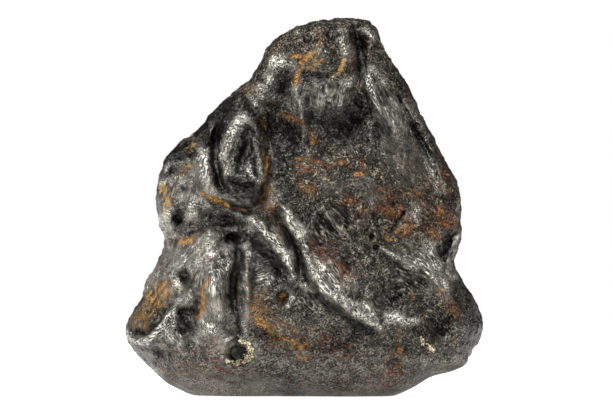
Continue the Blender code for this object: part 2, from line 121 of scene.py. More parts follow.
# The last number is the shoulder of a lump: 2 is a bell, more is steeper at the rim.
FRONT_LUMPS = (
    ((-10.2, 37.5), 3.7, 7.9, 4, 4.9, 3.2), ((-15.8, 35.9), 2.4, 5.2, -8, 3.4, 2.8),
    ((-20.3, 39.3), 2.4, 1.9, 20, 2.2, 3.0), ((-21.8, 30.6), 2.1, 3.4, 5, 2.0, 2.4),
    ((-17.9, 30.6), 2.2, 2.2, 0, 1.2, 2.2), ((-16.2, 23.1), 4.2, 3.4, 10, 3.0, 2.4),
    ((-14.4, 15.4), 2.2, 6.2, -4, 3.2, 2.4), ((-20.2, 21.4), 1.9, 2.0, 0, 2.1, 2.4),
    ((-18.6, 15.4), 2.2, 1.3, 0, 2.2, 2.4), ((-15.5, 10.2), 2.6, 1.8, -10, 2.0, 2.4),
    ((-23.0, 9.0), 4.4, 2.6, 25, 2.4, 2.4), ((-21.4, 4.2), 7.0, 3.0, -10, 1.0, 2.0),
    ((10.1, 57.8), 1.7, 2.0, 0, 1.5, 2.4), ((23.7, 31.1), 2.2, 5.6, 8, 1.2, 2.4),
    ((25.6, 11.6), 3.2, 4.6, 0, 1.5, 2.4), ((-4.5, 53.2), 2.4, 2.2, -30, 2.0, 2.2),
    ((-5.8, 50.0), 2.0, 2.4, 0, 1.2, 2.2), ((-8.0, 46.5), 1.7, 2.2, -40, 1.5, 2.4),
    ((4.5, 50.0), 5.0, 5.2, 10, 2.1, 2.2), ((2.2, 54.8), 5.0, 4.0, 0, 0.6, 2.0),
    ((4.2, 17.0), 4.0, 3.6, -45, 1.1, 2.0), ((8.6, 13.2), 3.6, 2.2, -25, 1.1, 2.0),
    ((17.4, 22.5), 4.4, 2.4, -25, 1.1, 2.0), ((15.4, 12.2), 3.2, 1.5, 0, 1.1, 2.2),
    ((-9.1, 16.7), 0.9, 8.0, 2, 1.1, 2.4), ((23.0, 18.3), 0.9, 4.6, -8, 1.2, 2.4),
)
# A ridge is its height, its half width to the left and the right of travel, and its course.
FRONT_RIDGES = (
    (2.5, 1.5, 0.55, ((-10.6, 29.4), (-8.3, 27.9), (-6.4, 26.3), (-4.6, 24.4), (-2.9, 21.8), (-1.0, 17.8))),
    (2.1, 1.8, 0.6, ((-4.0, 30.8), (-2.9, 28.9), (-1.4, 26.3), (0.5, 23.4))),
    (2.8, 3.4, 0.7, ((-1.6, 24.7), (-0.2, 22.5), (1.3, 19.6), (2.9, 16.6), (5.8, 14.5), (8.0, 12.9),
        (10.9, 11.4), (13.4, 9.7))),
    (2.4, 2.2, 0.7, ((10.2, 54.2), (10.1, 51.6), (10.6, 48.7), (11.8, 45.8), (13.3, 43.3), (15.0, 40.4))),
    (1.3, 1.6, 0.9, ((16.6, 47.8), (19.5, 41.5), (21.3, 36.7), (22.2, 31.8))),
    (2.5, 2.6, 0.7, ((11.2, 24.2), (14.1, 22.2), (17.0, 20.9), (19.7, 19.6), (21.4, 17.7), (22.6, 14.5))),
    (1.7, 0.7, 0.7, ((25.3, 26.6), (24.2, 24.6), (23.0, 22.8), (22.4, 20.6))),
    (2.7, 0.7, 1.6, ((-28.5, 9.8), (-26.9, 8.9), (-25.0, 8.9), (-23.0, 11.0), (-20.8, 14.2))),
    (1.4, 1.1, 1.1, ((-1.3, 55.1), (-1.3, 51.0), (-1.0, 47.1), (0.0, 43.3), (0.6, 39.1))),
    (0.7, 0.8, 0.8, ((2.9, 30.2), (4.3, 28.2), (6.1, 26.3), (7.7, 24.4))),
    (1.1, 0.7, 1.2, ((7.7, 50.3), (6.9, 48.4), (5.9, 46.2), (4.8, 44.2))),
    (1.0, 1.2, 0.7, ((11.8, 46.2), (14.1, 45.5), (15.7, 43.9), (17.0, 41.7))),
)
FRONT_GROOVES = (
    (2.0, 0.7, 0.7, ((-13.1, 45.2), (-14.1, 42.0), (-14.2, 37.8), (-13.4, 33.7), (-10.9, 31.1))),
    (1.6, 0.7, 0.7, ((-6.9, 45.2), (-5.8, 40.7), (-5.8, 35.6), (-6.2, 32.1), (-8.6, 29.7), (-12.5, 30.0),
        (-16.2, 31.9))),
    (0.9, 0.5, 0.5, ((-12.8, 35.0), (-10.9, 34.2), (-8.6, 33.7), (-7.0, 34.2))),
    (1.5, 0.8, 0.8, ((-5.1, 30.2), (-3.7, 27.3), (-2.1, 24.2), (-0.5, 20.2), (1.6, 15.8))),
    (0.9, 0.6, 0.6, ((13.4, 49.7), (16.0, 45.5), (18.4, 40.7), (20.5, 36.9), (21.8, 32.4))),
    (1.0, 0.5, 0.5, ((-18.1, 40.4), (-17.6, 36.7), (-16.8, 32.7))),
    (1.0, 0.4, 0.4, ((-22.4, 37.0), (-20.5, 37.5), (-18.2, 37.0))),
    (1.0, 0.5, 0.5, ((-22.1, 25.0), (-20.5, 24.7), (-18.9, 25.0), (-15.7, 26.3))),
    (1.8, 1.0, 1.0, ((-12.5, 26.0), (-10.7, 23.8), (-10.6, 20.2), (-11.5, 17.0), (-11.0, 13.5),
        (-10.1, 9.7))),
    (1.1, 0.5, 0.5, ((23.7, 27.0), (22.2, 24.7), (21.9, 22.2), (22.4, 19.9), (21.8, 17.4))),
    (0.7, 0.5, 0.5, ((0.0, 51.0), (2.9, 50.8), (5.1, 51.4), (6.6, 53.2))),
    (0.8, 0.5, 0.5, ((-27.8, 10.5), (-25.3, 10.0), (-23.4, 11.9), (-21.8, 14.5))),
    (0.8, 0.5, 0.5, ((8.3, 50.0), (8.3, 47.8), (9.0, 45.2))),
)
FRONT_PITS = (
    ((-3.4, 15.8), 0.8, 1.3), ((-10.4, 6.8), 2.0, 2.2), ((14.7, 4.6), 1.3, 0.8),
)
BACK_HOLLOWS = (
    ((-14.0, 14.0), 7.5, 6.0, 20, 2.6), ((2.0, 17.0), 7.0, 8.0, -15, 2.9), ((17.0, 14.0), 6.5, 6.5, 10, 2.4),
    ((-9.0, 29.0), 7.0, 6.0, -30, 2.6), ((7.0, 32.0), 6.5, 7.0, 15, 2.6), ((18.5, 29.0), 4.5, 6.0, 20, 2.0),
    ((2.5, 46.0), 6.0, 6.0, 0, 2.0), ((11.0, 49.0), 4.0, 5.0, 25, 1.4), ((-18.0, 36.0), 4.0, 5.0, -20, 1.6),
    ((-22.0, 8.0), 5.0, 4.0, 30, 1.5), ((24.0, 7.0), 4.0, 4.0, -20, 1.4), ((-5.0, 7.0), 5.5, 3.4, 0, 1.2),
    ((-3.0, 39.0), 3.0, 3.2, 0, 1.2), ((9.0, 6.5), 4.0, 3.0, 0, 1.1),
)
BACK_RIDGES = (
    (1.3, 1.6, 2.2, ((-20.0, 22.0), (-8.0, 21.0), (3.0, 26.0), (14.0, 22.0), (22.0, 20.0))),
    (1.1, 1.5, 1.8, ((-3.0, 8.0), (-4.0, 18.0), (1.0, 30.0), (-1.0, 42.0))),
)
# Unevenness without a name: (size across, height)
UNDULATION = (9.0, 0.60)
SWELLS = (4.2, 0.50)
DIMPLES = (2.0, 0.28)
HOLLOW_SHOULDER = 2.6  # how flat the hollows' floors are, and how steep their sides
WAVER = (3.0, 0.50)  # how the front's layout is shifted: size across, and shift
SEED = 7

# Fine flow lines on the front: height, half width to the left and right of travel, and the course
# as x, z, x, z and so on
WRINKLES = (
    (0.55, 0.8, 0.45, -9.8, 45.2, -11.5, 42.6, -13.0, 39.8, -13.4, 36.9, -12.5, 35.3),
    (0.55, 0.3, 0.4, -8.3, 41.4, -7.7, 39.1, -7.2, 36.6, -7.0, 34.0),
    (0.32, 0.3, 0.3, -9.1, 37.2, -9.0, 35.9, -8.2, 34.8, -7.5, 34.2),
    (0.3, 0.4, 0.5, -15.8, 39.1, -15.5, 37.5, -15.7, 35.3),
    (0.4, 0.35, 0.4, -22.2, 35.6, -21.8, 36.9, -20.5, 37.4, -18.9, 37.0),
    (0.35, 0.35, 0.4, -23.0, 34.0, -21.9, 34.3, -21.0, 34.0),
    (0.35, 0.5, 0.35, -14.6, 27.1, -13.1, 26.5, -10.7, 26.5),
    (0.35, 0.6, 0.35, -8.6, 27.8, -6.6, 26.2, -4.8, 24.1, -3.2, 21.7, -1.6, 18.8),
    (0.25, 0.5, 0.4, -5.8, 27.0, -4.0, 24.7, -2.6, 22.2),
    (0.3, 0.6, 0.35, -3.2, 29.0, -2.4, 27.1, -1.1, 25.4, 0.0, 24.1),
    (0.25, 0.4, 0.35, -1.3, 28.6, -0.2, 26.6, 1.3, 24.4),
    (0.35, 0.6, 0.35, -0.5, 23.3, 0.8, 21.2, 2.2, 18.5, 3.8, 16.2, 5.8, 15.4),
    (0.35, 0.5, 0.35, 1.3, 22.2, 3.2, 20.2, 5.1, 17.7, 6.4, 15.8),
    (0.25, 0.5, 0.4, 2.6, 23.1, 4.6, 21.2, 6.7, 18.6),
    (0.35, 0.5, 0.35, 5.4, 15.4, 7.4, 13.5, 9.9, 11.9, 12.5, 10.5),
    (0.3, 0.5, 0.35, 9.8, 15.1, 10.9, 13.2, 12.6, 11.0),
    (0.4, 0.7, 0.45, 10.9, 52.4, 10.1, 51.0, 10.7, 49.0, 11.7, 46.5),
    (0.25, 0.5, 0.35, 11.8, 51.9, 12.8, 49.7, 14.1, 47.4, 15.4, 44.9),
    (0.25, 0.5, 0.4, 19.8, 37.5, 21.0, 35.0, 21.9, 32.4), (0.35, 0.4, 0.4, 9.0, 58.2, 10.1, 58.2, 11.4, 56.7),
    (0.25, 0.4, 0.4, 12.8, 23.1, 14.7, 22.2, 17.3, 22.0, 19.7, 20.6, 21.4, 18.2),
    (0.25, 0.4, 0.4, 12.6, 12.2, 14.7, 13.2, 17.3, 12.9),
    (0.35, 0.35, 0.4, -11.2, 15.4, -10.4, 13.4, -9.3, 9.8),
    (0.45, 0.35, 0.4, -28.3, 9.7, -26.7, 8.6, -24.8, 8.9, -23.4, 10.5, -21.4, 12.9),
    (0.22, 0.4, 0.35, 2.9, 30.2, 4.0, 28.4, 5.9, 26.6, 7.5, 24.7),
    (0.25, 0.4, 0.5, -15.7, 19.0, -16.0, 16.4, -15.7, 13.2, -16.2, 10.6),
    (0.3, 0.4, 0.5, -14.4, 20.2, -12.8, 19.6, -11.4, 21.2),
)
CRACKS = (
    (0.45, 0.35, 0.35, 16.2, 29.4, 15.0, 27.8, 13.9, 25.8),
    (0.5, 0.3, 0.35, 13.8, 49.7, 16.0, 46.2, 18.1, 41.7, 20.6, 37.8, 22.1, 32.4),
    (0.5, 0.45, 0.45, -13.6, 44.6, -14.1, 41.4, -14.2, 37.5, -13.4, 33.7),
    (0.2, 0.4, 0.6, 8.5, 57.7, 9.1, 55.1, 8.8, 51.6),
    (0.4, 0.4, 0.4, -10.6, 25.0, -10.6, 21.2, -11.4, 17.4, -10.9, 13.2, -10.2, 10.0),
    (0.35, 0.35, 0.35, -16.5, 32.2, -14.7, 31.4, -12.2, 30.2, -9.6, 29.2, -7.0, 29.5),
    (0.4, 0.4, 0.4, -27.7, 10.5, -25.3, 9.8, -23.4, 11.6, -21.8, 14.2),
)
SMALL_PITS = (
    ((10.9, 25.4), 0.45, 0.7), ((11.5, 23.6), 0.38, 0.6), ((16.0, 29.2), 0.35, 0.4),
    ((-19.0, 19.0), 0.55, 0.5), ((-20.2, 28.1), 0.55, 0.7), ((19.4, 8.1), 0.6, 0.4),
)
# Where melt ran in lines: centre, half width, half height, lean, heading in degrees, line height
FLOWS = (
    ((3.5, 18.3), 3.6, 8.0, 40, -50, 0.22), ((-5.4, 24.7), 2.8, 6.0, 42, -50, 0.14),
    ((4.3, 47.6), 4.6, 4.0, 0, 80, 0.26), ((13.0, 45.8), 3.2, 8.0, -25, -60, 0.18),
    ((17.8, 20.2), 6.0, 4.4, -35, -38, 0.22), ((-15.0, 16.4), 4.0, 9.0, 0, 88, 0.12),
    ((9.3, 13.2), 5.0, 3.0, -30, -55, 0.22), ((5.0, 56.4), 7.0, 4.0, 0, 82, 0.14),
    ((-1.6, 21.2), 2.4, 6.0, 30, -64, 0.18), ((5.0, 27.6), 5.0, 5.0, 40, -50, 0.14),
    ((-10.2, 31.1), 4.4, 2.0, 0, 4, 0.1), ((-24.6, 5.5), 6.0, 4.0, 0, 12, 0.08),
    ((-6.7, 21.2), 3.0, 6.0, 30, 12, 0.06), ((-15.7, 36.7), 1.8, 4.6, 0, 84, 0.1),
    ((-1.9, 26.6), 2.0, 4.6, 34, -56, 0.14), ((-25.0, 9.7), 4.0, 2.0, 0, 26, 0.1),
)

# Tints and painted light on the front: strength, half width, and the course as x, z, x, z and so
# on. A course of one point is a round spot.
# Wear on the edges together with painted highlights: pale metal laid where ridges and facets catch the light.
WEAR_AND_HIGHLIGHTS = (
    (0.7, 0.5, -15.0, 29.0, -13.9, 28.9), (0.6, 0.5, -14.4, 43.9, -14.9, 42.3),
    (0.5, 1.2, -15.7, 27.6, -14.4, 26.6), (0.5, 0.9, -12.5, 21.2, -12.5, 18.6),
    (0.4, 1.4, -16.0, 35.6, -15.4, 34.0), (0.35, 1.0, -3.5, 27.0, -2.6, 25.0),
    (0.4, 1.0, -11.8, 15.8, -12.2, 13.2), (0.4, 0.8, 16.3, 46.5, 17.0, 45.2),
    (0.4, 1.4, -19.0, 1.7, -11.8, 0.9, -5.1, 1.2), (0.35, 1.4, 9.9, 33.4, 11.2, 31.8),
    (0.5, 1.2, -6.7, 48.4, -5.1, 47.8), (0.4, 1.0, 6.7, 55.8, 8.0, 54.5), (0.35, 1.2, 16.0, 45.8, 17.6, 44.6),
    (0.5, 1.2, -15.7, 27.3, -14.1, 26.0), (0.5, 1.2, -22.1, 23.1, -21.1, 21.2),
    (0.5, 1.2, -19.2, 20.6, -17.3, 19.0), (0.4, 1.2, -18.2, 36.9, -17.3, 35.0),
    (0.4, 1.4, -6.1, 33.7, -4.8, 31.8), (0.4, 1.4, -6.7, 23.8, -4.5, 22.2),
    (0.4, 1.2, -12.8, 8.1, -11.8, 7.1), (0.8, 0.9, -13.0, 21.2, -12.8, 18.3),
    (0.5, 1.4, -25.0, 17.5, -24.0, 19.6), (0.5, 0.45, -2.4, 23.8, -1.6, 21.5, -0.8, 19.0, 0.2, 17.0),
    (0.55, 0.3, 1.4, 22.3, 3.2, 21.0, 5.4, 19.4, 7.2, 17.5),
    (0.7, 1.6, -14.4, 25.0, -15.7, 22.8, -17.3, 21.5), (0.6, 0.9, -14.6, 17.7, -14.4, 16.1),
    (0.6, 0.5, -6.4, 41.7, -5.9, 40.4, -5.3, 38.8), (0.6, 0.35, -9.1, 41.0, -8.5, 40.2),
    (0.6, 1.4, -21.8, 25.0, -22.1, 28.7), (0.7, 1.3, -16.3, 27.0, -14.7, 25.4),
    (0.6, 1.0, -17.9, 11.9, -17.3, 9.7), (0.5, 1.4, -18.9, 22.2, -17.9, 19.9),
    (0.5, 1.0, -12.2, 23.1, -11.8, 19.0), (0.5, 0.3, 6.2, 56.1, 6.7, 54.5),
    (0.6, 0.8, 22.4, 20.2, 23.7, 19.0), (1.0, 0.9, -4.8, 52.6, -3.7, 53.4, -2.4, 53.0),
    (1.0, 0.9, -4.8, 51.3, -5.1, 49.4, -4.2, 50.2), (0.8, 0.6, -8.6, 47.4, -8.0, 46.6, -7.2, 45.5),
    (1.6, 0.75, -9.9, 44.6, -10.9, 43.4, -11.7, 41.5, -12.6, 39.6),
    (1.5, 0.75, -13.1, 39.1, -13.1, 37.5, -12.6, 35.8), (0.6, 0.4, -9.8, 44.6, -8.6, 43.8, -8.0, 42.8),
    (0.5, 0.3, -12.2, 35.6, -11.2, 35.8), (1.8, 0.28, -8.0, 40.9, -7.5, 39.1, -7.0, 37.2, -6.9, 34.3),
    (1.8, 0.3, -8.6, 37.2, -8.8, 35.9, -8.2, 34.8, -7.2, 34.0), (0.7, 0.3, -8.6, 37.0, -8.3, 36.1),
    (0.6, 0.4, -9.9, 36.6, -9.4, 36.1), (1.0, 0.9, -16.0, 39.0, -15.7, 37.8, -15.7, 36.2),
    (0.6, 0.8, -16.8, 39.3, -16.5, 36.7), (0.9, 0.35, -22.1, 35.9, -21.8, 36.9, -20.6, 37.2, -19.0, 37.0),
    (0.8, 0.4, -22.6, 34.0, -21.6, 34.3, -21.1, 34.0), (1.0, 1.3, -19.7, 35.3, -18.6, 34.8),
    (0.5, 1.4, -18.2, 31.9, -16.3, 30.2), (0.7, 0.6, -18.2, 30.2, -17.3, 30.5),
    (0.7, 0.6, -18.7, 28.4, -17.6, 28.9), (0.6, 0.35, -14.4, 27.0, -13.1, 26.5, -10.9, 26.5),
    (0.6, 1.2, -16.0, 27.6, -15.4, 25.4), (0.55, 2.6, -15.0, 25.4, -16.2, 23.1, -17.4, 21.2),
    (0.3, 1.4, -14.4, 18.3, -14.6, 13.5), (0.5, 1.6, -20.2, 23.1, -21.1, 20.2, -20.8, 17.5),
    (0.4, 1.6, -17.3, 31.1, -16.6, 27.1), (0.6, 0.9, -20.2, 21.2, -19.8, 19.6),
    (0.7, 1.0, -13.4, 19.3, -12.5, 20.2, -11.5, 21.2), (0.8, 0.8, -14.6, 17.4, -14.4, 16.4),
    (0.7, 0.7, -20.2, 15.1, -18.2, 14.8),
    (1.0, 0.5, -28.2, 9.7, -27.2, 8.7, -25.3, 8.6, -24.0, 9.7, -22.4, 11.6, -21.1, 13.2),
    (0.8, 1.5, -22.1, 11.0, -20.5, 10.2), (0.7, 0.8, -16.2, 11.6, -14.4, 10.6, -13.1, 9.4),
    (0.5, 0.6, -10.6, 28.7, -9.0, 28.1), (1.0, 0.9, -8.6, 27.8, -6.7, 26.3, -5.1, 24.7, -3.5, 22.8),
    (1.0, 0.45, -3.8, 23.0, -2.6, 21.2, -1.6, 19.0), (0.6, 0.9, -4.5, 26.3, -3.4, 24.4),
    (0.5, 0.4, -2.2, 23.1, -1.6, 21.2), (0.9, 0.7, -2.9, 29.2, -2.6, 27.6),
    (1.0, 0.8, -2.4, 27.4, -1.1, 25.7, 0.0, 24.2), (0.6, 0.8, -1.0, 27.6, 0.5, 25.4),
    (0.8, 0.5, -0.5, 23.1, 0.8, 21.2, 1.9, 19.1), (0.85, 1.1, 2.4, 19.0, 3.5, 17.4, 4.8, 15.8),
    (0.8, 0.8, 2.2, 21.0, 4.2, 19.1, 5.8, 16.7), (0.6, 0.9, 6.6, 14.8, 8.3, 13.5, 10.6, 12.2),
    (0.6, 0.8, 9.9, 14.3, 10.9, 13.2), (0.8, 0.4, 7.7, 12.6, 9.9, 11.8, 12.2, 10.6),
    (0.6, 0.5, 3.4, 15.4, 5.8, 15.4), (0.3, 0.25, 2.9, 30.2, 3.8, 28.6, 5.8, 26.6, 7.4, 25.0),
    (0.3, 2.0, 2.2, 47.4, 5.8, 46.5), (0.6, 0.7, 6.7, 49.7, 7.7, 50.5), (0.5, 0.9, 5.4, 47.9, 6.1, 46.0),
    (1.0, 0.7, 10.9, 52.1, 10.1, 51.0, 10.6, 49.4), (0.9, 0.45, 10.7, 49.0, 11.4, 47.1, 11.8, 45.8),
    (0.6, 0.6, 11.5, 51.6, 12.5, 50.0), (0.4, 2.0, 13.1, 45.2, 14.4, 43.1),
    (0.5, 0.9, 13.8, 46.2, 15.0, 44.6), (0.35, 0.6, 16.6, 45.8, 17.8, 44.2, 18.6, 43.0),
    (0.6, 0.7, 19.2, 40.7, 20.2, 37.5, 21.3, 34.6, 21.9, 32.7),
    (0.8, 0.45, 9.1, 58.2, 10.1, 58.0, 11.2, 56.9), (0.4, 0.5, 5.9, 58.3, 6.2, 55.4),
    (0.5, 0.5, 1.9, 55.1, 2.6, 54.2), (0.2, 1.2, 14.6, 22.2, 17.3, 22.5),
    (1.0, 0.9, 19.8, 24.1, 20.5, 22.2, 21.1, 20.6), (0.75, 1.5, 18.6, 21.8, 20.5, 19.9, 21.6, 17.4),
    (0.7, 0.8, 20.8, 21.2, 21.8, 20.2), (0.7, 0.7, 13.4, 12.4, 15.7, 12.2, 17.9, 11.8),
    (0.9, 0.2, 10.1, 17.7, 10.2, 15.6), (1.0, 0.9, 20.5, 19.9, 21.3, 18.0),
    (1.0, 0.35, 24.5, 25.4, 23.8, 23.9), (1.0, 0.45, 22.4, 21.8, 22.2, 20.9),
    (0.5, 0.4, -10.1, 11.9, -9.3, 9.8), (0.4, 0.4, -10.9, 15.1, -10.2, 13.2),
    (0.65, 1.3, -9.0, 22.8, -7.7, 20.6, -6.4, 19.0),
    (1.4, 0.32, -2.6, 17.0, -1.9, 16.2, -1.9, 15.1, -2.7, 14.3), (0.35, 1.4, 4.2, 20.2, 7.0, 17.7),
    (0.2, 1.2, -10.1, 21.2, -9.4, 11.9), (0.35, 1.2, -1.3, 48.4, -1.0, 45.2),
    (0.15, 2.6, 14.6, 39.1, 17.3, 35.0), (0.35, 1.0, 17.3, 28.9, 18.2, 29.7),
    (0.4, 0.5, 16.0, 24.7, 17.6, 23.8, 18.2, 22.2), (0.15, 1.4, 4.2, 34.3, 6.1, 32.7),
    (0.45, 0.35, -12.6, 31.8, -10.6, 30.5, -8.2, 30.8, -7.2, 31.9), (0.45, 1.3, -12.8, 17.7, -13.1, 13.2),
    (0.6, 0.6, 23.0, 21.2, 22.7, 18.3, 22.6, 15.4), (0.35, 1.2, -15.8, 34.3, -14.9, 32.4),
    (0.8, 0.3, 12.8, 23.1, 14.2, 22.2, 16.0, 20.9, 17.9, 20.2),
    (1.0, 0.8, 20.2, 20.6, 21.1, 19.0, 21.8, 17.0), (0.8, 0.4, 21.8, 17.4, 22.2, 15.1),
    (0.9, 0.3, 16.0, 22.0, 17.3, 21.4, 18.9, 20.6, 20.2, 19.8),
    (0.7, 0.35, 19.2, 23.4, 20.2, 22.2, 20.8, 20.6), (0.8, 0.5, -4.3, 53.5, -5.0, 51.9, -5.4, 49.7),
)
RUST = (
    (0.4, 0.5, -1.0, 36.9, 0.3, 36.2, 1.6, 36.9), (0.4, 0.35, 2.2, 35.9, 4.5, 36.7, 7.4, 37.5),
    (1.0, 0.35, 8.3, 35.3, 9.1, 35.3), (0.5, 0.4, -1.3, 37.8, 1.0, 37.5, 2.9, 36.9),
    (0.4, 0.5, 7.7, 36.9, 9.3, 37.2, 9.9, 35.6), (0.45, 0.4, 12.2, 32.7, 13.1, 33.4),
    (0.35, 0.35, 6.7, 31.4, 7.7, 30.8, 9.1, 30.0), (0.35, 0.45, 12.0, 32.4, 12.8, 31.1),
    (0.35, 0.6, 12.3, 29.8, 13.8, 29.2, 15.2, 29.7), (0.4, 0.4, 16.0, 32.2, 17.0, 31.8),
    (0.4, 0.35, 17.6, 32.7, 18.7, 32.1), (0.55, 0.35, 14.9, 26.0, 16.0, 27.1, 17.4, 27.0),
    (0.5, 0.35, 15.4, 25.4, 16.8, 26.2), (0.45, 0.45, 21.6, 30.2, 22.4, 29.0),
    (0.45, 0.35, 21.8, 27.3, 23.4, 27.0), (0.5, 0.5, 20.3, 26.2, 21.1, 25.4),
    (0.6, 0.4, 17.1, 17.0, 17.4, 15.3), (0.6, 0.35, 22.9, 18.2, 23.0, 17.4),
    (0.5, 0.4, 13.1, 25.4, 13.8, 24.7), (0.45, 0.5, -3.7, 44.9, -2.6, 44.2, -1.3, 43.9),
    (0.5, 0.5, 1.0, 41.8, 1.3, 40.4), (0.45, 0.6, -0.6, 33.5, 1.0, 32.7), (0.5, 0.6, 21.8, 16.7, 23.0, 15.1),
    (0.45, 0.6, 23.4, 13.2, 24.6, 12.2),
    (0.7, 0.45, -1.9, 54.2, -0.5, 54.0, -0.3, 52.6, -1.1, 51.0, -1.6, 49.2),
    (0.6, 0.7, -0.6, 53.8, 1.6, 54.2, 2.6, 53.5), (0.5, 0.6, 1.0, 52.4, 1.6, 52.9),
    (0.5, 0.4, 2.7, 58.6, 2.6, 56.4, 1.9, 55.4),
    (1.0, 0.45, -16.2, 32.1, -14.7, 31.3, -13.4, 30.8, -12.3, 30.3), (0.5, 0.3, -6.7, 43.9, -6.1, 42.6),
    (0.75, 0.45, -6.2, 38.8, -6.1, 35.1, -5.9, 31.9), (0.45, 0.3, -6.7, 43.3, -5.9, 40.7, -5.3, 38.8),
    (0.6, 0.7, -6.6, 31.1, -5.8, 29.8), (0.4, 0.35, -10.9, 29.7, -8.6, 29.4, -7.0, 29.8),
    (0.9, 0.7, -19.8, 24.4, -18.2, 24.7), (0.5, 0.4, -17.9, 25.4, -15.7, 26.3),
    (0.6, 0.5, -19.2, 36.6, -17.9, 36.6), (0.4, 0.9, -20.5, 35.3, -19.2, 35.9),
    (0.5, 2.2, -22.6, 17.5, -24.3, 15.1), (0.9, 0.8, -22.6, 17.5, -21.9, 16.1),
    (0.4, 1.8, -24.6, 14.3, -26.2, 11.9), (0.7, 0.6, -15.5, 18.6, -16.2, 16.7, -16.0, 14.2, -17.0, 12.2),
    (0.4, 2.4, -7.4, 15.1, -6.7, 11.9, -3.8, 9.5, -0.6, 7.9), (0.8, 0.6, -8.0, 13.8, -7.0, 11.6, -5.1, 10.0),
    (0.6, 0.8, -2.6, 8.7, -0.3, 7.8), (1.0, 0.6, -3.4, 15.8), (0.4, 0.5, 15.2, 10.3, 15.5, 7.1, 15.0, 2.6),
)
OCHRE = (
    (0.6, 0.8, -22.6, 33.4, -21.9, 31.1, -22.1, 29.2), (1.0, 0.35, 6.4, 53.4, 5.8, 51.9),
    (0.6, 0.35, 5.8, 51.9, 4.2, 51.0), (0.5, 0.5, -17.9, 40.7, -18.2, 39.1), (0.4, 1.0, 1.3, 54.0, 2.2, 53.2),
    (0.4, 1.5, -23.0, 16.4, -23.8, 15.1), (0.4, 0.8, -16.0, 17.7, -16.6, 15.1),
)
STAIN = (
    (1.0, 0.9, 12.0, 32.7, 12.8, 31.3), (1.0, 1.1, 12.2, 29.8, 15.0, 29.2),
    (0.6, 0.9, 15.4, 26.6, 17.3, 27.0), (0.45, 1.4, -0.6, 37.5, 2.2, 36.2), (0.7, 0.8, 2.6, 36.1, 7.4, 37.7),
    (0.8, 0.7, 6.6, 31.6, 9.1, 29.8), (0.5, 0.8, 8.5, 37.5, 9.3, 35.1), (1.0, 0.9, 21.8, 27.3, 23.7, 26.8),
    (1.0, 1.0, 12.5, 32.2, 13.8, 30.3, 15.0, 29.8), (0.7, 0.9, 7.7, 31.1, 9.0, 29.8),
    (0.6, 0.8, 1.0, 33.4, 2.2, 32.7), (0.6, 0.6, -1.3, 35.9, 1.9, 35.8, 4.8, 36.7),
    (0.5, 1.4, 16.6, 31.8, 18.6, 30.8), (0.7, 1.0, 20.2, 26.6, 21.4, 25.0),
    (0.35, 1.2, -1.0, 34.0, 1.3, 32.7), (0.5, 1.0, -5.1, 30.2, -3.2, 26.0), (0.5, 1.6, 2.2, 25.4, 5.1, 21.2),
    (0.6, 1.3, 21.8, 17.0, 24.3, 12.9), (0.5, 1.2, 0.2, 36.6, 3.4, 35.6), (0.5, 1.0, 2.9, 36.2, 6.6, 37.5),
    (0.9, 0.8, 6.7, 31.4, 8.2, 30.5, 9.1, 29.4), (0.6, 1.8, 13.0, 32.2, 14.1, 29.8),
    (0.35, 1.8, 16.2, 32.4, 18.6, 31.8), (0.8, 1.3, 21.4, 29.4, 23.4, 27.6), (0.8, 0.6, 1.0, 42.0, 1.6, 40.4),
    (0.6, 0.9, -3.5, 44.9, -0.6, 43.6), (0.5, 1.4, 10.2, 55.4, 12.5, 55.1), (0.45, 1.2, 7.7, 55.4, 8.6, 53.2),
    (0.5, 1.3, -9.3, 48.7, -8.3, 49.0), (0.5, 1.8, 14.6, 5.2, 13.4, 2.3), (0.4, 2.6, 2.2, 8.4, 5.8, 7.4),
    (0.4, 1.8, 23.4, 14.3, 24.6, 12.6), (0.4, 2.0, 23.4, 36.7, 23.0, 34.6),
    (0.6, 1.8, 1.3, 23.8, 4.2, 21.8, 6.6, 19.0), (0.3, 3.0, -23.0, 3.6, -11.8, 2.3),
    (0.35, 2.0, -14.7, 7.9, -14.2, 3.6), (0.3, 5.0, 15.4, 27.9, 20.2, 25.5), (0.4, 1.2, 2.2, 40.7, 4.2, 39.1),
)
CREAM = (
    (0.4, 0.8, 13.4, 12.4, 17.6, 11.9), (0.3, 5.0, 3.4, 34.3, 7.4, 27.1), (0.55, 2.2, 7.7, 36.2, 9.9, 37.2),
    (0.35, 3.0, 6.6, 25.5, 10.9, 23.1), (0.55, 1.8, -0.6, 33.7, 1.6, 33.0), (0.5, 1.4, -1.0, 37.2, 0.6, 35.9),
    (0.3, 4.0, 15.4, 25.5, 18.6, 27.1), (1.0, 0.58, -10.1, 8.4, -9.1, 8.2, -8.5, 7.3, -8.6, 6.2, -9.4, 5.4),
    (0.9, 0.45, -9.4, 5.4, -10.9, 5.0, -12.2, 5.4), (0.9, 0.55, 18.7, 9.0, 19.5, 7.9, 20.6, 7.1),
    (0.2, 2.0, 10.9, 19.9, 14.6, 16.7),
)
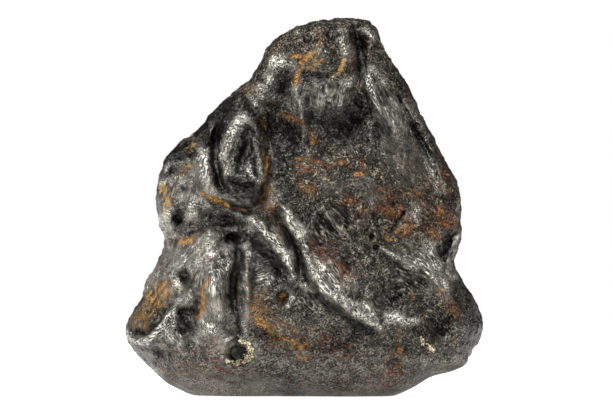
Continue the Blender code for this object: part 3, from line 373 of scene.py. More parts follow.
# Painted shade: darkening laid in hollows, grooves, under the knob and on faces turned from the light.
PAINTED_SHADE = (
    (1.0, 1.5, -10.2, 46.8, -11.8, 46.2, -13.8, 44.6), (1.0, 2.0, -4.8, 43.3, -2.9, 42.3, -1.9, 39.8),
    (0.8, 0.8, -7.7, 39.1, -8.0, 37.2), (0.9, 1.0, -9.6, 40.7, -9.6, 37.8, -10.6, 36.2),
    (0.7, 0.25, 5.3, 16.4, 6.2, 14.5), (0.6, 0.3, 0.5, 24.2, 1.4, 22.2), (0.6, 0.4, 14.7, 22.0, 15.4, 21.4),
    (0.5, 0.35, 17.0, 20.9, 17.6, 20.2), (0.4, 1.0, 16.0, 48.4, 19.2, 42.6, 22.1, 37.2),
    (0.35, 2.0, -0.6, 11.6, 5.8, 9.7), (0.6, 1.0, -12.8, 46.5, -11.2, 45.2),
    (0.4, 1.4, 22.1, 17.7, 22.7, 16.4), (0.35, 2.0, -2.2, 14.2, 1.3, 12.6),
    (0.3, 1.6, -3.2, 33.4, -1.3, 30.2), (0.35, 1.4, 0.0, 20.9, 2.2, 19.0),
    (0.5, 1.4, -19.2, 34.0, -17.9, 33.0), (0.6, 1.2, -11.8, 24.4, -10.6, 22.8),
    (0.5, 1.2, 0.0, 47.1, 1.3, 45.5), (0.5, 1.4, 0.0, 30.5, 1.6, 28.9), (0.5, 1.4, 12.5, 14.8, 14.7, 14.2),
    (0.5, 1.2, 26.6, 11.9, 27.2, 9.7), (0.6, 1.4, 2.9, 39.4, 5.8, 40.4), (0.5, 1.0, -2.2, 50.0, 0.0, 48.4),
    (0.8, 1.6, -21.4, 38.3, -19.2, 38.8), (0.35, 3.0, -8.6, 3.1, 4.2, 2.6),
    (0.35, 1.6, -25.3, 7.8, -22.2, 5.2), (1.0, 1.8, -3.2, 40.4, -1.9, 38.8, -2.9, 36.2),
    (0.5, 1.6, 19.2, 8.2, 21.8, 6.8), (0.6, 1.4, 3.2, 38.8, 5.1, 37.5), (0.5, 0.35, 5.9, 16.7, 5.4, 14.8),
    (0.5, 1.2, 0.3, 46.5, 1.0, 44.2), (0.7, 1.6, 2.9, 39.1, 5.4, 38.8), (0.6, 1.6, 15.7, 23.8, 17.9, 23.1),
    (0.7, 1.4, 25.9, 15.1, 27.2, 11.6), (0.6, 1.6, 12.8, 16.7, 15.4, 14.8), (0.5, 1.6, -5.4, 7.9, -2.2, 7.1),
    (0.4, 1.6, 3.4, 4.9, 5.0, 4.2), (1.0, 1.8, -13.1, 45.8, -11.2, 47.1, -9.3, 46.2),
    (1.0, 1.3, -10.9, 46.3, -12.3, 45.2, -13.3, 43.6, -13.9, 41.7),
    (1.0, 1.6, -15.7, 40.4, -16.6, 42.3, -14.7, 44.2), (0.8, 0.6, -8.3, 45.2, -7.4, 43.3, -6.9, 41.7),
    (0.7, 2.0, -3.5, 37.5, -3.8, 33.4), (0.6, 1.8, 2.2, 39.4, 7.4, 39.1, 13.0, 39.4),
    (0.6, 1.6, 0.0, 49.7, 0.3, 46.5), (0.5, 1.5, -19.5, 33.4, -17.9, 32.4),
    (0.5, 1.4, -19.2, 26.8, -17.3, 26.2), (0.7, 2.0, 0.3, 58.6, -0.6, 55.8), (0.5, 1.6, 2.6, 52.6, 5.4, 52.6),
    (0.5, 1.4, 10.6, 55.1, 10.9, 53.2), (0.4, 2.4, -5.8, 7.4, -0.6, 6.2), (0.4, 2.6, 10.6, 7.8, 16.6, 7.1),
    (0.5, 1.8, 25.3, 11.1, 25.9, 8.7), (0.5, 1.8, 12.2, 20.2, 16.0, 19.0), (0.4, 1.4, 12.8, 15.4, 15.0, 14.8),
    (0.6, 1.0, -9.3, 40.7, -9.0, 37.5), (1.0, 0.9, -13.6, 44.9, -14.4, 41.5, -14.4, 38.3, -13.6, 33.7),
    (0.6, 1.1, -15.7, 29.2, -13.4, 28.4, -10.9, 27.3), (0.85, 1.0, -13.1, 25.4, -10.9, 24.7),
    (0.9, 0.8, -9.8, 25.8, -7.4, 24.1, -5.1, 21.5, -3.4, 18.8, -1.9, 16.7),
    (0.35, 0.5, -3.0, 26.6, -1.8, 23.9, -0.5, 21.2, 0.8, 18.3),
    (0.7, 0.7, 2.2, 15.8, 4.8, 13.5, 7.7, 11.4, 11.2, 9.4),
    (0.5, 0.3, -7.4, 44.2, -6.4, 41.5, -6.2, 37.5, -6.4, 33.7, -7.5, 31.4),
    (0.7, 0.4, -13.3, 32.7, -11.2, 30.3, -8.6, 29.7), (0.6, 5.0, 3.4, 35.1, 11.4, 31.1),
    (0.35, 4.0, 14.6, 33.5, 20.2, 28.7), (0.5, 2.4, 6.6, 22.8, 11.4, 20.2),
    (1.0, 2.6, -4.8, 43.0, -3.2, 41.4, -2.2, 39.8), (0.7, 1.6, -4.5, 38.2, -2.2, 35.9, -2.6, 32.7),
    (0.3, 2.6, -3.2, 49.0, -2.2, 45.8), (0.6, 4.0, 5.8, 42.6, 10.6, 42.3),
    (0.7, 1.1, 9.4, 57.0, 9.8, 54.2, 9.3, 51.3), (0.6, 0.6, -11.2, 21.2, -11.7, 18.3, -11.8, 16.1),
    (0.6, 0.5, -11.7, 15.8, -10.9, 13.2, -9.9, 10.0), (0.35, 1.2, -18.9, 13.2, -18.6, 10.3),
    (0.8, 0.6, -20.5, 29.2, -19.5, 27.6), (1.0, 2.0, -21.4, 39.1, -18.9, 39.6),
    (0.35, 2.5, 4.2, 11.1, 9.0, 9.5), (0.5, 0.35, 13.8, 49.7, 16.0, 46.2, 18.1, 41.7, 20.6, 37.8, 22.1, 32.7),
    (1.0, 1.0, 23.5, 25.7, 22.9, 24.1, 22.2, 22.8), (0.35, 2.5, 20.2, 15.1, 21.8, 11.9),
    (1.0, 0.4, 10.9, 25.4), (1.0, 0.35, 11.5, 23.6), (0.8, 0.25, 16.0, 29.2, 14.1, 26.0),
    (0.6, 1.2, -1.0, 31.1, 0.3, 27.3), (0.55, 2.2, 1.6, 29.2, 4.2, 24.2), (0.45, 1.6, 6.1, 28.6, 7.7, 27.0),
    (0.45, 1.8, 8.2, 23.1, 10.9, 18.3), (0.4, 1.6, 14.1, 35.0, 10.9, 34.0),
    (0.5, 3.0, -1.0, 57.4, 4.2, 58.3, 7.4, 57.4), (0.45, 2.0, 18.6, 34.3, 19.2, 37.5),
    (0.4, 2.0, 13.0, 19.1, 14.6, 15.1), (0.5, 1.6, -0.6, 39.1, 2.6, 38.8, 6.6, 39.4),
    (0.9, 0.5, -27.7, 10.5, -25.1, 9.8, -23.0, 11.9), (0.9, 2.4, -12.5, 46.8, -14.7, 44.6, -16.0, 42.3),
    (0.6, 1.6, -11.5, 33.7, -9.3, 32.1), (1.0, 0.5, -8.0, 37.8, -7.8, 35.6),
    (1.0, 1.9, -9.1, 41.4, -9.4, 39.8, -9.8, 38.5), (0.9, 1.1, -10.6, 37.5, -10.2, 36.2),
    (0.9, 1.5, -11.8, 33.7, -8.6, 33.0), (1.0, 1.1, -11.2, 6.2, -10.1, 7.0),
)
# Painted reflection: a calm grey standing in for floor and side light reflected on the underside and the left
# lumps.
PAINTED_REFLECTION = (
    (0.5, 1.2, -6.1, 29.2, -3.5, 26.0), (0.5, 2.2, -3.0, 11.6, 4.2, 9.4, 10.6, 8.4),
    (0.5, 1.6, -17.9, 33.7, -18.9, 27.3), (0.8, 4.0, -15.8, 23.1, -18.2, 24.7),
    (0.7, 3.5, -13.4, 16.7, -14.1, 11.9), (1.0, 1.8, -16.0, 35.0, -14.7, 32.7),
    (1.0, 2.2, -21.8, 32.4, -22.6, 28.7, -21.8, 25.5), (0.6, 2.0, -20.6, 27.1, -18.2, 27.0),
    (0.5, 1.5, -10.9, 30.8, -8.3, 30.2, -7.0, 31.8), (0.9, 2.4, -21.1, 16.7, -21.4, 21.2, -21.1, 24.7),
    (0.8, 3.0, -24.6, 5.8, -18.2, 3.1, -10.2, 2.3, -0.6, 2.6, 9.0, 2.0, 15.4, 2.3),
    (0.7, 3.0, -16.6, 5.5, 2.6, 5.2), (0.7, 2.4, 23.4, 5.2, 25.3, 6.2),
    (0.5, 1.4, -9.4, 23.1, -9.1, 15.1, -8.6, 11.9),
)
BROWN = (
    (0.9, 4.0, -2.2, 55.1, 5.8, 56.7, 7.4, 53.5), (1.0, 6.0, 1.0, 34.3, 7.4, 32.7, 18.6, 32.7),
    (0.7, 4.0, 7.4, 23.1, 13.8, 24.7, 20.2, 26.3),
    (0.9, 2.0, 14.6, 53.5, 18.6, 45.5, 21.8, 39.1, 24.2, 32.7, 24.3, 27.9),
    (0.7, 4.0, -6.2, 15.1, -2.2, 8.7, 7.4, 7.9), (0.6, 3.0, 15.4, 7.9, 21.8, 11.9, 25.0, 15.1),
    (0.5, 3.0, -23.0, 3.9, -11.8, 2.3, 15.4, 3.1), (0.8, 2.4, -23.0, 17.5, -26.2, 11.9),
    (0.8, 1.4, -5.8, 43.9, -5.1, 37.5, -4.6, 31.1), (0.6, 1.8, -8.3, 48.7, -2.2, 43.9),
    (0.6, 1.6, 2.6, 21.5, 7.4, 17.5),
)

FRONT, BACK = -1, 1


def smooth_step(t):
    """0 below 0, 1 above 1, and an S-shaped curve, 3t^2 - 2t^3, between."""
    t = np.clip(t, 0, 1)
    return t * t * (3 - 2 * t)


def sorted_pair(keys, values):
    order = np.argsort(keys)
    return keys[order], values[order]


def rounded_outline(steps=720, spread=2.2):
    """Distance from the core to the outline at equal steps of angle: straight runs between the
    points, blurred a little with a bell so that the corners are round."""
    x, z = np.array(OUTLINE).T
    bearing = np.arctan2(z - CORE_HEIGHT, x)
    steps_at = np.arange(steps) * 2 * np.pi / steps - np.pi
    radius = np.interp(steps_at, *sorted_pair(bearing, np.hypot(x, z - CORE_HEIGHT)), period=2 * np.pi)
    reach = np.arange(-8, 9)
    kernel = np.exp(-0.5 * (reach / spread) ** 2)
    padded = np.concatenate([radius[-8:], radius, radius[:8]])
    return steps_at, np.convolve(padded, kernel / kernel.sum(), mode="valid")


OUTLINE_TABLE = rounded_outline()


def outline_radius(bearing):
    return np.interp(bearing, *OUTLINE_TABLE, period=2 * np.pi)


def pillow_point(bearing, share, depth_share, side):
    """A point of the plain stone: `share` of the way from the core to the outline, and
    `depth_share` of the way out to the front or the back."""
    radius = share * outline_radius(bearing)
    x, z = radius * np.cos(bearing), CORE_HEIGHT + radius * np.sin(bearing)
    narrowing = smooth_step((z - TAPER[0]) / (TAPER[1] - TAPER[0]))
    low = np.where(side < 0, FRONT_DEPTH[0], BACK_DEPTH[0])
    high = np.where(side < 0, FRONT_DEPTH[1], BACK_DEPTH[1])
    depth = low + (high - low) * narrowing
    drawn_back = smooth_step((UNDERCUT[0] - z) / UNDERCUT[0])
    depth = depth - np.where(side < 0, UNDERCUT[1] * drawn_back, 0)
    sway = RIM_SWAY * np.sin(2 * bearing + 0.6) * share**2
    return np.stack([x, side * depth * depth_share + sway, z], axis=-1)


def exponent(bearing):
    """The pillow's edge is squarer towards the foot."""
    downward = np.clip(-np.sin(bearing), 0, 1)
    return ROUNDNESS[0] + (ROUNDNESS[1] - ROUNDNESS[0]) * downward**2


def plain_stone(direction):
    """The plain stone's surface in each direction from its core: the direction's run along the
    outline's plane and its run across it lie on a superellipse."""
    across = np.hypot(direction[:, 0], direction[:, 2])
    bearing = np.arctan2(direction[:, 2], direction[:, 0])
    power = exponent(bearing)
    reach = (across**power + np.abs(direction[:, 1]) ** power) ** (-1 / power)
    side = np.where(direction[:, 1] < 0, FRONT, BACK)
    return pillow_point(bearing, across * reach, np.abs(direction[:, 1]) * reach, side)


def leaning_ellipse(flat, place, half_width, half_height, lean):
    """Distance from a spot's middle in the plane of the front, 1 on its rim. The spot is an ellipse
    whose tall way leans to the right by `lean` degrees."""
    turn = np.radians(lean)
    x, z = flat[:, 0] - place[0], flat[:, 2] - place[1]
    tall_way = np.cos(turn) * z + np.sin(turn) * x
    wide_way = np.cos(turn) * x - np.sin(turn) * z
    return np.hypot(wide_way / half_width, tall_way / half_height)


def swell(apart, shoulder):
    """1 in the middle of a spot, a sixth on its rim, and nothing far off: the higher the shoulder,
    the flatter its top and the steeper its side."""
    return np.exp(-1.8 * apart**shoulder)


def along_course(flat, course):
    """For each point the distance to the broken line through the course; how much it lies to the
    right of the line (1) or to its left (-1) as seen from the front; and the share of the line's
    length passed. The last two are averages over the line's pieces, the nearest counting most."""
    knots = np.reshape(course, (-1, 2))
    lengths = np.linalg.norm(np.diff(knots, axis=0), axis=1)
    start = np.concatenate([[0], np.cumsum(lengths)])
    best = np.full(len(flat), np.inf)
    hand, along, weights = np.zeros((3, len(flat)))
    for first, last, length, before in zip(knots[:-1], knots[1:], lengths, start):
        run = (last - first) / length
        offset = flat[:, ::2] - first
        travel = np.clip(offset @ run, 0, length)
        distance = np.linalg.norm(offset - travel[:, None] * run, axis=1) + 0.001
        weight = distance**-6
        hand += weight * (offset[:, 0] * run[1] - offset[:, 1] * run[0]) / distance
        along += weight * (before + travel) / start[-1]
        weights += weight
        best = np.minimum(best, distance)
    return best, hand / weights, along / weights


def course_height(flat, height, left, right, course):
    """A ridge's height: a bell over the distance to its course, with its own width to each side,
    growing lower and narrower towards both ends."""
    best, hand, along = along_course(flat, course)
    ends = smooth_step(along / 0.3) * smooth_step((1 - along) / 0.3)
    width = (left + (right - left) * smooth_step(0.5 + 0.5 * hand)) * (0.45 + 0.55 * ends)
    return height * (0.12 + 0.88 * ends) * np.exp(-((best / width) ** 2))


def gradient_noise(points, size, seed):
    """Smooth noise from -1 to 1 with lumps `size` across: random slopes at the corners of a cubic
    lattice, blended inside each cell."""
    rng = np.random.default_rng(seed)
    order = np.tile(rng.permutation(256), 2)
    slopes = rng.normal(size=(256, 3))
    slopes /= np.linalg.norm(slopes, axis=1)[:, None]
    cell = np.floor(points / size)
    inside = points / size - cell
    cell = cell.astype(int)
    fade = inside**3 * (inside * (inside * 6 - 15) + 10)
    total = np.zeros(len(points))
    for corner in np.ndindex(2, 2, 2):
        at = (cell + corner) & 255
        slope = slopes[order[order[order[at[:, 0]] + at[:, 1]] + at[:, 2]]]
        weight = np.prod(np.where(corner, fade, 1 - fade), axis=1)
        total += weight * np.sum(slope * (inside - corner), axis=1)
    return 1.7 * total


def seen_from_front(points):
    """The points moved onto the plane y = 0 along their lines of sight from VIEWPOINT, straight in
    front of the stone."""
    eye = np.array(VIEWPOINT)
    seen = eye + (points - eye) * (-eye[1] / (points[:, 1] - eye[1]))[:, None]
    return seen * (1, 0, 1)


def wavering(flat, points):
    """The flat places shifted by noise, so that what is laid out on them loses its even edges."""
    sideways = gradient_noise(points, WAVER[0], SEED + 2)
    upwards = gradient_noise(points, WAVER[0], SEED + 3)
    sideways += 0.35 * gradient_noise(points, WAVER[0] / 2.7, SEED + 4)
    upwards += 0.35 * gradient_noise(points, WAVER[0] / 2.7, SEED + 5)
    return flat + WAVER[1] * np.stack([sideways, 0 * sideways, upwards], axis=-1)


def dished(flat, hollows):
    """How deep the hollows are: dishes with soft rims, blended where they overlap."""
    total = np.zeros(len(flat))
    for place, half_width, half_height, lean, depth in hollows:
        apart = leaning_ellipse(flat, place, half_width, half_height, lean)
        total += (depth * swell(apart, HOLLOW_SHOULDER)) ** 3
    return np.cbrt(total)


def front_relief(points):
    """How far each point stands out towards the front: hollows and lumps are swells of their own,
    ridges and grooves are bells along a course, and pits are round wells."""
    straight = seen_from_front(points)
    flat = wavering(straight, points)
    moved = -dished(flat, FRONT_HOLLOWS)
    for place, half_width, half_height, lean, height, rise in FRONT_LUMPS:
        apart = leaning_ellipse(flat, place, half_width, half_height, lean)
        moved += height * swell(apart, rise)
    for sign, courses in ((1, FRONT_RIDGES), (-1, FRONT_GROOVES)):
        for height, left, right, course in courses:
            moved += sign * course_height(flat, height, left, right, course)
    for place, radius, depth in FRONT_PITS:
        moved -= depth * np.exp(-(leaning_ellipse(straight, place, radius, radius, 0) ** 4))
    return moved


def back_relief(points):
    """The same for the back: hollows and ridges."""
    flat = wavering(points * (1, 0, 1), points)
    moved = -dished(flat, BACK_HOLLOWS)
    for height, left, right, course in BACK_RIDGES:
        moved += course_height(flat, height, left, right, course)
    return moved


def calm_at_foot(points):
    """0 low down and 1 higher up: what is multiplied by it dies out towards the resting face."""
    return smooth_step((points[:, 2] - CALM_FOOT[0]) / (CALM_FOOT[1] - CALM_FOOT[0]))


def landforms(points, normals):
    """The way each point of the plain stone moves. What faces front or back moves straight towards
    that side, which keeps the outline; the flanks, and everything a little, move along their
    normals, by noise."""
    outward = normals[:, 1]
    faces_front, faces_back = smooth_step(-outward / 0.35), smooth_step(outward / 0.35)
    broad = UNDULATION[1] * gradient_noise(points, UNDULATION[0], SEED)
    broad += SWELLS[1] * gradient_noise(points, SWELLS[0], SEED + 6)
    towards = faces_back * (back_relief(points) + broad) - faces_front * (front_relief(points) + broad)
    rough = DIMPLES[1] * gradient_noise(points, DIMPLES[0], SEED + 1)
    flank = smooth_step((outward + 0.1) / 0.4) * broad
    moved = (calm_at_foot(points) * (rough + flank))[:, None] * normals
    moved[:, 1] += towards
    return moved


def cube_grid(cells):
    """A cube from -1 to 1 ruled into cells by cells squares a side: each side is the grid (u, v)
    set on its axis, and points that sides share are found by their whole-number place and kept
    once. Returns the points and the squares, which face outwards."""
    steps = np.arange(cells + 1)
    u, v = np.meshgrid(steps, steps, indexing="ij")
    number = np.arange(u.size).reshape(u.shape)
    corners = [number[:-1, :-1], number[1:, :-1], number[1:, 1:], number[:-1, 1:]]
    square = np.stack(corners, axis=-1).reshape(-1, 4)
    places, squares = [], []
    for axis in range(3):
        for far in (0, cells):
            place = np.empty((u.size, 3), int)
            place[:, axis] = far
            place[:, (axis + 1) % 3] = u.ravel()
            place[:, (axis + 2) % 3] = v.ravel()
            side = square + len(places) * u.size
            squares.append(side if far else side[:, ::-1])
            places.append(place)
    points, index = np.unique(np.concatenate(places), axis=0, return_inverse=True)
    return points * 2 / cells - 1, index.ravel()[np.concatenate(squares)]


def directions(cube_points):
    """The way each cube point looks from the core, evenly spread, and crowded towards the front."""
    spread = np.tan(cube_points * np.pi / 4)
    spread /= np.linalg.norm(spread, axis=1)[:, None]
    spread[:, 1] -= FRONT_CROWDING
    return spread / np.linalg.norm(spread, axis=1)[:, None]


def summed_at_points(values, squares, count):
    """For each of `count` points, the sum of the values of the squares that it is a corner of."""
    corners = squares.ravel()
    return np.stack([np.bincount(corners, np.repeat(column, 4), count) for column in values.T], axis=-1)


def point_normals(points, squares):
    """The average of the normals of the squares round each point, larger squares counting more;
    a square's normal is the cross product of its diagonals."""
    a, b, c, d = (points[squares[:, k]] for k in range(4))
    total = summed_at_points(np.cross(c - a, d - b), squares, len(points))
    return total / np.linalg.norm(total, axis=1)[:, None]


def relaxed(values, squares, rounds):
    """The values after each point has taken the average of its squares' corners, that many times."""
    count = np.bincount(squares.ravel(), minlength=len(values))
    for _ in range(rounds):
        middle = values[squares].mean(axis=1)
        values = summed_at_points(middle, squares, len(values)) / count[:, None]
    return values


def relief(points, squares, normals, rounds):
    """How far each point stands out of the surface smoothed over its surroundings."""
    return np.sum((points - relaxed(points, squares, rounds)) * normals, axis=1)


def tint(flat, courses, ragged):
    """How strongly each point carries a tint: each course gives its strength up to 0.3 of its
    half width away and nothing past 1.6 of it, `ragged` shifts both, and the strongest course wins."""
    strongest = np.zeros(len(flat))
    for strength, half_width, *course in courses:
        if len(course) == 2:
            apart = leaning_ellipse(flat, course, 1, 1, 0)
        else:
            apart = along_course(flat, course)[0]
        edge = half_width * (1.6 + 0.8 * ragged)
        strongest = np.maximum(strongest, strength * smooth_step((edge - apart) / (1.3 * half_width)))
    return strongest


def heading_of(degrees):
    """The way a flow runs, in the plane of the front."""
    return np.array((math.cos(math.radians(degrees)), 0, math.sin(math.radians(degrees))))


def flow_share(flat, flow):
    """1 in the middle of a flow, falling to 0 a little beyond its leaning ellipse."""
    (x, z), half_width, half_height, lean = flow[:4]
    long_way, short_way = heading_of(90 - lean), heading_of(-lean)
    offset = flat - (x, 0, z)
    apart = np.hypot(offset @ short_way / half_width, offset @ long_way / half_height)
    return smooth_step((1.25 - apart) / 0.9)


def flow_lines(points, front):
    """The height of the lines that melt ran in: noise drawn out six times along each flow's
    heading, folded so that its zero lines stand up as ridges."""
    flat = seen_from_front(points)
    height = np.zeros(len(points))
    for number, flow in enumerate(FLOWS):
        run = heading_of(flow[4])
        drawn_out = points - LINE_SHORTENING * (points @ run)[:, None] * run
        folded = 1 - LINE_SHARPNESS * np.abs(gradient_noise(drawn_out, LINE_SIZE, LINE_SEED + number))
        height += front * flow_share(flat, flow) * flow[5] * folded
    return height


def flow_places(points, front):
    """The points, with the run of each flow pressed short about the flow's middle, so that grain
    read at them is drawn out along the flow."""
    flat = seen_from_front(points)
    shares = [front * flow_share(flat, flow) for flow in FLOWS]
    crowd = np.maximum(sum(shares), 1)
    pressed = points.copy()
    for share, flow in zip(shares, FLOWS):
        (x, z), run = flow[0], heading_of(flow[4])
        travel = (flat - (x, 0, z)) @ run
        pressed -= (GRAIN_SHORTENING * share / crowd * travel)[:, None] * run
    return pressed


def fine_forms(points, normals, front):
    """The height of what is too fine for the landforms: flow wrinkles, cracks and small pits on
    the front, and all over three sizes of noise, drawn out along the flows, and fine creases
    where another noise is far from zero."""
    flat = seen_from_front(points)
    height = flow_lines(points, front)
    for sign, courses in ((1, WRINKLES), (-1, CRACKS)):
        for tall, left, right, *course in courses:
            height += sign * front * course_height(flat, tall, left, right, course)
    for place, radius, depth in SMALL_PITS:
        height -= front * depth * np.exp(-(leaning_ellipse(flat, place, radius, radius, 0) ** 4))
    drawn_out = flow_places(points, front)
    for number, (size, tall) in enumerate(GRAINS):
        height += tall * gradient_noise(drawn_out, size, FINE_SEED + number)
    creased = np.abs(gradient_noise(points, CREASES[0], FINE_SEED + len(GRAINS)))
    return height - CREASES[1] * creased


def set_in_box(points):
    """The points moved so that the foot's trim lies below the floor, pressed flat there, and then
    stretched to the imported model's box."""
    middle = (points.max(axis=0) + points.min(axis=0)) / 2
    points = points + np.array((-middle[0], -middle[1], -points[:, 2].min() - FOOT_TRIM))
    points[:, 2] = np.maximum(points[:, 2], 0)
    low, high = (np.array(corner) / MM for corner in cad_box)
    least, most = points.min(axis=0), points.max(axis=0)
    return low + (points - least) * (high - low) / (most - least)


def crust_tints(points, squares, normals, front):
    """The tint and painted-light attributes. On the front they follow the named courses; all over,
    what stands out of its surroundings carries wear and painted highlight, what is sunken holds
    painted shade and rust, the underside carries a painted reflection, and noise scatters the rest.
    Painted shade hides wear and highlight."""
    flat = seen_from_front(points)
    ragged = gradient_noise(points, 1.1, TINT_SEED) + 0.6 * gradient_noise(points, 0.5, TINT_SEED + 1)
    fine, middling, broad = (relief(points, squares, normals, rounds) for rounds in SMOOTHINGS)
    cloud = gradient_noise(points, 6.0, TINT_SEED + 2)
    patch = gradient_noise(points, 3.0, TINT_SEED + 3)
    patchy = np.clip(0.9 + 0.6 * gradient_noise(points, 1.5, TINT_SEED + 4) + 0.2 * ragged, 0.3, 1.1)
    elsewhere = 1 - front
    edge = smooth_step((broad - 0.25) / 0.9)
    hollow = smooth_step((-broad - 0.2) / 0.9)
    standing = smooth_step((fine - 0.02) / 0.08) + smooth_step((middling - 0.06) / 0.2)
    sunken = smooth_step((-fine - 0.015) / 0.08) + smooth_step((-middling - 0.04) / 0.2)
    # Low, downward-facing surface, which gets the painted reflection of the floor.
    underside = smooth_step((9.0 - points[:, 2]) / 6.0) * smooth_step((0.15 - normals[:, 2]) / 0.4)

    def on_front(courses):
        return front * tint(flat, courses, ragged)

    # Painted shade: the listed dark places on the front, darkening in broad hollows, and more where the
    # surface is sunken.
    listed_painted_shade = on_front(PAINTED_SHADE)
    painted_shade = np.maximum(listed_painted_shade, (0.42 - 0.12 * elsewhere) * hollow)
    # Wear and painted highlights: the listed places on the front, rubbed edges elsewhere, and more on what
    # stands out.
    wear_and_highlight = front * patchy * tint(flat, WEAR_AND_HIGHLIGHTS, ragged)
    wear_and_highlight = np.maximum(wear_and_highlight, elsewhere * 0.5 * edge * smooth_step(0.4 + patch))
    wear_and_highlight = np.clip(wear_and_highlight + 0.20 * standing * (0.15 + wear_and_highlight), 0, 1)
    wear_and_highlight *= 1 - 0.35 * np.clip(sunken, 0, 1)
    return {
        "wear_and_highlight": wear_and_highlight * (1 - 0.9 * listed_painted_shade),
        "brown": np.maximum(on_front(BROWN), elsewhere * 0.7 * smooth_step(0.5 + cloud)),
        "painted_shade": np.clip(painted_shade + 0.28 * sunken, 0, 1),
        "rust": np.maximum(on_front(RUST), elsewhere * 0.55 * hollow * smooth_step(cloud * 1.6)),
        "stain": np.maximum(on_front(STAIN), elsewhere * 0.6 * smooth_step(patch * 1.4 + cloud * 0.8)),
        "ochre": on_front(OCHRE),
        "cream": np.maximum(on_front(CREAM), elsewhere * 0.4 * smooth_step(cloud * 2 - 0.3)),
        "painted_reflection": np.maximum(on_front(PAINTED_REFLECTION), 0.9 * underside),
    }


def carry(mesh, name, kind, socket, values):
    """Put an attribute on the mesh's points."""
    layer = mesh.attributes.new(name, kind, "POINT")
    layer.data.foreach_set(socket, values.astype(np.float32).ravel())


def crust_stone():
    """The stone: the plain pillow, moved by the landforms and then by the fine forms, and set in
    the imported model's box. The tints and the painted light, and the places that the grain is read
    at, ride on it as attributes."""
    cube_points, squares = cube_grid(CELLS)
    points = plain_stone(directions(cube_points))
    normals = point_normals(points, squares)
    front = smooth_step((0.25 - normals[:, 1]) / 0.3)
    calm = calm_at_foot(points)
    points = points + landforms(points, normals)
    normals = point_normals(points, squares)
    points = points + (calm * fine_forms(points, normals, front))[:, None] * normals
    normals = point_normals(points, squares)
    mesh = bpy.data.meshes.new("meteorite_crust")
    mesh.from_pydata((set_in_box(points) * MM).tolist(), [], squares.tolist())
    mesh.shade_smooth()
    for name, values in crust_tints(points, squares, normals, front).items():
        carry(mesh, name, "FLOAT", "value", values)
    carry(mesh, "flow", "FLOAT_VECTOR", "vector", flow_places(points, front) * MM)
    stone = bpy.data.objects.new("meteorite_crust", mesh)
    bpy.context.scene.collection.objects.link(stone)
    return stone


# ---- materials


def add(tree, kind, inputs=(), **settings):
    """A shader node with its settings, and its inputs given as {socket: value or output}."""
    made = tree.nodes.new(kind)
    for name, value in settings.items():
        setattr(made, name, value)
    for name, value in dict(inputs).items():
        if isinstance(value, bpy.types.NodeSocket):
            tree.links.new(value, made.inputs[name])
        else:
            made.inputs[name].default_value = value
    return made


def calculate(tree, operation, first, second=0.5):
    return add(tree, "ShaderNodeMath", {0: first, 1: second}, operation=operation).outputs[0]


def times(tree, first, second):
    return calculate(tree, "MULTIPLY", first, second)


def plus(tree, first, second):
    return calculate(tree, "ADD", first, second)


def blend(tree, share, first, second, blend_type="MIX"):
    """Two colours mixed, or multiplied, by a share."""
    mix = add(tree, "ShaderNodeMix", {0: share, 6: first, 7: second}, data_type="RGBA", blend_type=blend_type)
    return mix.outputs[2]


def noise(tree, where, size, detail=2.0, roughness=0.5, distortion=0.0):
    """Noise with lumps about `size` millimetres across, from 0 to 1."""
    inputs = {"Vector": where, "Scale": 1 / (size * MM), "Detail": detail}
    inputs |= {"Roughness": roughness, "Distortion": distortion}
    return add(tree, "ShaderNodeTexNoise", inputs).outputs["Fac"]


def stretch(tree, value, low, high, floor=0.0, ceiling=1.0):
    """The value's run from low to high spread, smoothly, from floor to ceiling."""
    inputs = {"Value": value, "From Min": low, "From Max": high, "To Min": floor, "To Max": ceiling}
    return add(tree, "ShaderNodeMapRange", inputs, interpolation_type="SMOOTHSTEP").outputs["Result"]


def ramp(tree, value, stops):
    """A run of colours along the value, from (place, colour) stops."""
    made = add(tree, "ShaderNodeValToRGB", {"Fac": value})
    elements = made.color_ramp.elements
    elements[1].position = 1.0
    for number, (place, colour) in enumerate(stops):
        element = elements[number] if number < 2 else elements.new(place)
        element.position = place
        element.color = (*colour, 1)
    return made.outputs["Color"]


def winding_lines(tree, where, size, count):
    """Lines that wind like the contours of a map, from 0 to 1 and back: the sine of `count` turns
    over the run of noise whose lumps are `size` millimetres across."""
    turns = times(tree, noise(tree, where, size, 1.5, 0.5, 0.4), count * 2 * math.pi)
    return plus(tree, times(tree, calculate(tree, "SINE", turns), 0.5), 0.5)


def mix_of(tree, *weighted):
    """The sum of values times their weights."""
    total = 0.0
    for value, weight in weighted:
        total = plus(tree, times(tree, value, weight), total)
    return total


def new_group(name, inputs, outputs):
    group = bpy.data.node_groups.new(name, "ShaderNodeTree")
    for socket, kind in inputs:
        group.interface.new_socket(socket, in_out="INPUT", socket_type=kind)
    for socket, kind in outputs:
        group.interface.new_socket(socket, in_out="OUTPUT", socket_type=kind)
    return group, group.nodes.new("NodeGroupInput"), group.nodes.new("NodeGroupOutput")


def ragged_mask_group():
    """Where a tint shows: the amount has to beat the grain, so that it breaks up into grains where
    the amount is small."""
    group, given, result = new_group(
        "ragged_mask",
        [("Amount", "NodeSocketFloat"), ("Grain", "NodeSocketFloat"), ("Softness", "NodeSocketFloat")],
        [("Mask", "NodeSocketFloat")],
    )
    margin = calculate(group, "SUBTRACT", given.outputs["Amount"], given.outputs["Grain"])
    scaled = calculate(group, "DIVIDE", margin, given.outputs["Softness"])
    lifted = stretch(group, plus(group, scaled, 0.5), 0.0, 1.0)
    present = stretch(group, given.outputs["Amount"], 0.02, 0.30)
    group.links.new(times(group, lifted, present), result.inputs["Mask"])
    return group


def attribute(tree, name, output="Fac"):
    return add(tree, "ShaderNodeAttribute", attribute_name=name).outputs[output]


